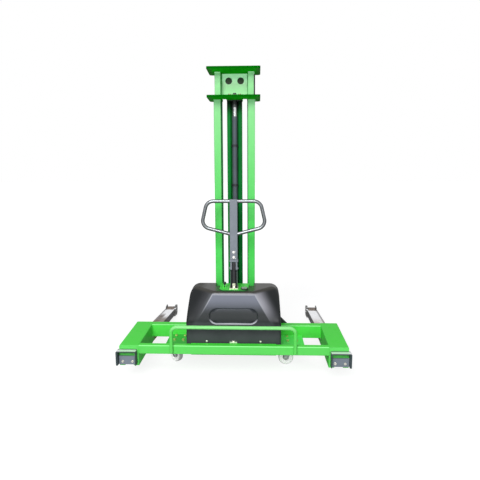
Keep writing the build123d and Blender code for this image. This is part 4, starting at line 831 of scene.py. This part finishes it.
def mast_paint(name, pale, glow, channel):
    """The frame's coat, paler the higher it stands by painted light. On a channel, painted shade darkens the
    faces between its flanges and the outer flange edges; on the head's plate, painted light makes it palest
    at the top. Glow is the light thrown back by the plates on the faces below them."""
    material, tree, shader, place = new_material(name, specular=0.2)
    shader.inputs["Emission Strength"].default_value = 1.0
    film = use_group(tree, powder_coat)
    across, along, height = split_axes(tree, place)
    mottled = mix_colours(tree, film.outputs["Mottle"], MAST_GREEN, MAST_PALE)
    coat = mix_colours(tree, ramp_between(tree, height, *HEAD_LIGHT_Z), mottled, pale)
    lit = ramp_between(tree, height, *GLOW_Z)
    if channel:
        aside = size_of(tree, across)
        in_head = arithmetic(tree, "GREATER_THAN", height, HEAD_FLOOR)
        web = arithmetic(tree, "SUBTRACT", COLUMN_OUT - MARGIN, times(tree, in_head, STEP_IN))
        inside = times(tree, arithmetic(tree, "GREATER_THAN", along, COLUMN_REAR + MARGIN),
                       arithmetic(tree, "LESS_THAN", along, COLUMN_FRONT - MARGIN),
                       arithmetic(tree, "LESS_THAN", aside, web))
        outer = ramp_between(tree, aside, *FLANGE_EDGE, 0.0, 0.35)
        coat = mix_colours(tree, outer, coat, MAST_EDGE_SHADE)
        coat = mix_colours(tree, inside, coat, mix_colours(tree, in_head, MAST_INSIDE_SHADE, HEAD_INSIDE_SHADE))
        below = times(tree, ramp_between(tree, height, *GLOW_BELOW_Z),
                      arithmetic(tree, "LESS_THAN", height, HEAD_UNDER + MARGIN))
        rear_face = arithmetic(tree, "LESS_THAN", along, COLUMN_REAR + MARGIN)
        lit = times(tree, largest(tree, lit, below), rear_face)
    else:
        coat = mix_colours(tree, ramp_between(tree, height, *PALEST_Z), coat, HEAD_TOP_LIGHT)
    film_over(tree, shader, film, coat, (0.36, 0.5))
    feed(tree, shader, Emission_Color=mix_colours(tree, lit, (0.0, 0.0, 0.0), glow))
    return material


column_coat = mast_paint("mast_coat", (0.295, 0.590, 0.305), (0.08, 0.19, 0.10), channel=True)
face_coat = mast_paint("head_face_coat", (0.430, 0.780, 0.440), (0.13, 0.28, 0.17), channel=False)
dress(column_coat, "left_mast_column", "right_mast_column")
dress(face_coat, "head_face_plate")

head_coat, tree, shader, place = new_material("head_plate_coat", specular=0.0)
film = use_group(tree, powder_coat)
across, along, _ = split_axes(tree, place)
aside = size_of(tree, across)
corner = largest(tree, arithmetic(tree, "SUBTRACT", aside, PLATE_CORNER), 0.0)
from_rear = arithmetic(tree, "SUBTRACT", along, corner)
flat = mix_colours(tree, film.outputs["Mottle"], PLATE_GREEN, PLATE_PALE)
flat = mix_colours(tree, ramp_between(tree, aside, *OUTER_X), flat, PLATE_OUTER_SHADE)
off_edge = ramp_between(tree, from_rear, *PLATE_EDGE_Y)
film_over(tree, shader, film, mix_colours(tree, off_edge, PLATE_EDGE_SHADE, flat), (0.45, 0.6))
dress(head_coat, "head_lower_plate", "head_top_plate")

back_coat = paint("head_back_coat", (0.050, 0.066, 0.044), (0.036, 0.052, 0.034), (0.4, 0.55),
                  scuff=(0.08, 0.09, 0.07))
dress(back_coat, "head_back_plate")

nut_steel, tree, shader, place = new_material("nut_steel")
across, _, _ = split_axes(tree, place)
cloud = noise_value(tree, place, 160.0, 3.0)
thread = ramp_between(tree, size_of(tree, across), *THREAD_X)
zinc = mix_colours(tree, cloud, NUT_ZINC, NUT_PALE)
feed(tree, shader, Base_Color=mix_colours(tree, thread, zinc, NUT_THREAD),
     Roughness=ramp_between(tree, cloud, 0.3, 0.7, 0.4, 0.6))
dress(nut_steel, "rod_nut")
dress(plated("brown_zinc", (0.24, 0.24, 0.12), (0.18, 0.18, 0.09), (0.5, 0.65)), "head_bolts")

head_seams = []
for side in (-1, 1):
    for z, up, step in ((HEAD_FLOOR, 1, STEP_IN), (HEAD_CEILING, -1, STEP_IN), (HEAD_UNDER, -1, 0.0)):
        inner, x = side * (COLUMN_IN + SEAM_IN), side * (COLUMN_OUT - step)
        head_seams += [cross_bead(COLUMN_REAR, z, inner, x, (0, -1, up), FINE_BEAD),
                       level_bead(x, z, COLUMN_REAR, COLUMN_FRONT, (side, 0, up), FINE_BEAD)]
    x = side * COLUMN_OUT
    head_seams.append(upright_bead(x, CARRIAGE_SEAM_Y, *CARRIAGE_SEAM_Z, (side, -1, 0), FINE_BEAD))
part_piece("mast_welds", head_seams, face_coat, "lift_frame")

# Forks: two forged steel blades with upright shanks, fixed to the front of the carriage.
# Their dark paint is scraped to bare steel on top, the more so towards the tips.

FORK_DARK, FORK_BARE = (0.036, 0.038, 0.042), (0.50, 0.50, 0.52)
TIPWARD_Y = (-0.1, 0.75)
fork_paint, tree, shader, place = new_material("fork_paint")
_, along, _ = split_axes(tree, place)
patch = noise_value(tree, place, 18.0, 6.0, 0.65)
marks = use_group(tree, fine_scratches, Scale=50.0, Cut=0.60)
tipward = ramp_between(tree, along, *TIPWARD_Y, 0.0, 0.5)
scraped = arithmetic(tree, "ADD", arithmetic(tree, "SUBTRACT", patch, 0.62), tipward)
bare = largest(tree, ramp_between(tree, scraped, 0.10, 0.34), times(tree, marks.outputs["Mask"], 0.6))
feed(tree, shader, Base_Color=mix_colours(tree, bare, FORK_DARK, FORK_BARE), Metallic=times(tree, bare, 0.9),
     Roughness=ramp_between(tree, bare, 0.0, 1.0, 0.5, 0.35))
bump_from(tree, shader, patch, 0.2, 0.0008)
dress(fork_paint, "left_fork", "right_fork")

# Tiller: a grey stem with a clevis over the black post, a closed loop of tube, and two push buttons in
# a small screwed plate. The green plate under it is welded to the pillar, is dark along its shaded edge,
# and carries a lever and a switch.

(_, _, POST_FOOT), _ = corners("tiller_post")
PLATE_SHADE = (0.020, 0.110, 0.028)
POST_BLACK, POST_PALE = (0.006, 0.007, 0.008), (0.010, 0.011, 0.012)
# painted highlights down the post's middle and along its side edges; the rib and the foot are bare steel
POST_MIDDLE_HIGHLIGHT, POST_EDGE_HIGHLIGHT, POST_BARE = (0.036, 0.037, 0.040), (0.075, 0.105, 0.095), (0.70, 0.74, 0.55)
KNOB_BLACK, KNOB_PALE, SWITCH_CAP = (0.014, 0.014, 0.015), (0.022, 0.022, 0.024), (0.20, 0.27, 0.20)
SWITCH_CENTRE, CAP_R = (0.065, -0.603, 0.577), (0.0185, 0.0165)
SHADED_Z = (POST_FOOT - 0.0002, POST_FOOT - 0.0008)
RIB_Z, RIB_X, BARE_FOOT_Z = (0.6035, 0.6015), (0.0095, 0.0080), (0.5810, 0.5790)
MIDDLE_X, SIDE_EDGE_X = (0.0085, 0.0050), (0.0165, 0.0190)
SCREW_X, SCREW_INSET = 0.0115, 0.003
plate_coat, tree, shader, place = new_material("tiller_plate_coat", specular=PAINT_SHINE)
film = use_group(tree, powder_coat)
_, _, height = split_axes(tree, place)
lime = mix_colours(tree, film.outputs["Mottle"], LIME_DEEP, LIME)
edge = ramp_between(tree, height, *SHADED_Z)
film_over(tree, shader, film, mix_colours(tree, edge, lime, PLATE_SHADE), SATIN)
dress(plate_coat, "tiller_plate")
dress(black_coat, "tiller_post_bolts")

post_coat, tree, shader, place = new_material("post_coat", specular=0.15)
film = use_group(tree, powder_coat, Mottle_scale=40.0)
across, _, height = split_axes(tree, place)
aside = size_of(tree, across)
rib = times(tree, ramp_between(tree, height, *RIB_Z), ramp_between(tree, aside, *RIB_X))
bare = largest(tree, ramp_between(tree, height, *BARE_FOOT_Z), rib)
black = mix_colours(tree, film.outputs["Mottle"], POST_BLACK, POST_PALE)
# painted highlights on the black post
black = mix_colours(tree, ramp_between(tree, aside, *MIDDLE_X), black, POST_MIDDLE_HIGHLIGHT)
black = mix_colours(tree, ramp_between(tree, aside, *SIDE_EDGE_X), black, POST_EDGE_HIGHLIGHT)
film_over(tree, shader, film, mix_colours(tree, bare, black, POST_BARE), (0.3, 0.45), peel=0.2)
feed(tree, shader, Metallic=times(tree, bare, 0.6))
dress(post_coat, "tiller_post")

tiller_grey = paint("tiller_grey", (0.205, 0.226, 0.258), (0.176, 0.196, 0.225), (0.28, 0.4),
                    scuff=(0.30, 0.31, 0.33), coat=0.1)
loop_steel = plated("loop_steel", (0.22, 0.235, 0.245), (0.18, 0.19, 0.20), (0.30, 0.42))
button_plastic = moulded("button_plastic", (0.72, 0.69, 0.66), (0.80, 0.77, 0.74), 800.0, (0.2, 0.35))
dress(tiller_grey, "tiller_stem", "button_plate", "tiller_pin")
dress(loop_steel, "tiller_loop")
dress(button_plastic, "raising_button", "lowering_button")
dress(moulded("knob_plastic", KNOB_BLACK, KNOB_PALE, 500.0, (0.25, 0.4)), "lowering_lever")

switch_plastic, tree, shader, place = new_material("switch_plastic")
reach = add_node(tree, "ShaderNodeVectorMath", {"operation": "DISTANCE"}, i0=place, i1=SWITCH_CENTRE)
film = use_group(tree, powder_coat, Mottle_scale=40.0)
dark = mix_colours(tree, film.outputs["Mottle"], KNOB_BLACK, KNOB_PALE)
cap = ramp_between(tree, reach.outputs["Value"], *CAP_R)
feed(tree, shader, Base_Color=mix_colours(tree, cap, dark, SWITCH_CAP),
     Roughness=rub_between(tree, film, 0.3, 0.45))
dress(switch_plastic, "main_switch")

(_, screw_y, plate_low), (_, _, plate_high) = corners("button_plate")
screw_dome = rounded([(-0.0014, 0.0001), (-0.0012, 0.0014), (0.0, 0.0019), (0.0004, 0.0019)], 0.0006)
screws = []
for x in (-SCREW_X, SCREW_X):
    for z in (plate_low + SCREW_INSET, plate_high - SCREW_INSET):
        screws.append(turned(screw_dome, (x, screw_y, z), (0, 1, 0), 14))
part_piece("button_plate_screws", screws, white_zinc, "tiller", True)

# Floor, light and camera: a pale studio floor, a large soft light above and in front, and a camera at
# standing height looking slightly down.

FLOOR_HALF, PALER_R = 30.0, (1.2, 4.0)   # the floor gets paler between these distances
FLOOR_GREY, FLOOR_PALE, FLOOR_BOUNCE = (0.26, 0.26, 0.26), (0.28, 0.28, 0.28), (0.50, 0.50, 0.50)
SKY_GREY, SKY_IN_GLOSS, SKY_SEEN = (0.36, 0.36, 0.37), (0.75, 0.75, 0.76), (1.0, 1.0, 1.0)
floor_paint, tree, shader, place = new_material("floor_paint", specular=0.0)
shader.inputs["Emission Strength"].default_value = 1.0
shader.inputs["Roughness"].default_value = 0.6
speckle = noise_value(tree, place, 3.0, 4.0)
away = add_node(tree, "ShaderNodeVectorMath", {"operation": "LENGTH"}, i0=place).outputs["Value"]
pale = ramp_between(tree, away, *PALER_R, 0.84, 1.0)
seen = add_node(tree, "ShaderNodeLightPath").outputs["Is Camera Ray"]
grain = mix_colours(tree, speckle, FLOOR_GREY, FLOOR_PALE)
feed(tree, shader, Base_Color=mix_colours(tree, seen, FLOOR_BOUNCE, grain),
     Emission_Color=times(tree, seen, pale))
line = np.linspace(-FLOOR_HALF, FLOOR_HALF, 3)
floor_grid = np.stack([*np.meshgrid(line, line, indexing="xy"), np.zeros((3, 3))], -1)
grid_object("studio_floor", [floor_grid], floor_paint)

world = bpy.data.worlds.new("studio_white")
world.use_nodes = True
rays = add_node(world.node_tree, "ShaderNodeLightPath").outputs
backdrop = mix_colours(world.node_tree, rays["Is Glossy Ray"], SKY_GREY, SKY_IN_GLOSS)
backdrop = mix_colours(world.node_tree, rays["Is Camera Ray"], backdrop, SKY_SEEN)
world.node_tree.links.new(backdrop, world.node_tree.nodes["Background"].inputs["Color"])
bpy.context.scene.world = world
bpy.context.scene.view_settings.view_transform = "Standard"


def softbox(name, place, target, width, height, power):
    """A rectangular area light aimed at a point."""
    light = bpy.data.lights.new(name, "AREA")
    light.shape = "RECTANGLE"
    light.size = width
    light.size_y = height
    light.energy = power
    lamp = bpy.data.objects.new(name, light)
    aim = (Vector(target) - Vector(place)).to_track_quat("-Z", "Y")
    lamp.matrix_world = Matrix.Translation(place) @ aim.to_matrix().to_4x4()
    bpy.context.scene.collection.objects.link(lamp)


softbox("key", place=(-0.8, -5.7, 3.8), target=(0.0, -0.4, 0.8), width=3.0, height=2.6, power=355.0)
softbox("low_front", place=(0.2, -6.4, 1.10), target=(0.0, -0.6, 0.8), width=3.6, height=1.0, power=40.0)

CAMERA_AT = (0.147, -3.378, 1.34)
CAMERA_FORWARD = Vector((-0.0380, 0.9858, -0.1637))
CAMERA_RIGHT = Vector((0.9992, 0.0377, -0.0039))
FOCAL_PIXELS, FRAME_PIXELS, SENSOR = 461.0, 480.0, 36.0
forward = CAMERA_FORWARD.normalized()
right = (CAMERA_RIGHT - forward * CAMERA_RIGHT.dot(forward)).normalized()
up = right.cross(forward)
lens = bpy.data.cameras.new("photo_camera")
lens.sensor_width = SENSOR
lens.lens = FOCAL_PIXELS / FRAME_PIXELS * SENSOR
camera = bpy.data.objects.new("photo_camera", lens)
turn = Matrix((right, up, -forward)).transposed().to_4x4()
camera.matrix_world = Matrix.Translation(CAMERA_AT) @ turn
bpy.context.scene.collection.objects.link(camera)
bpy.context.scene.camera = camera
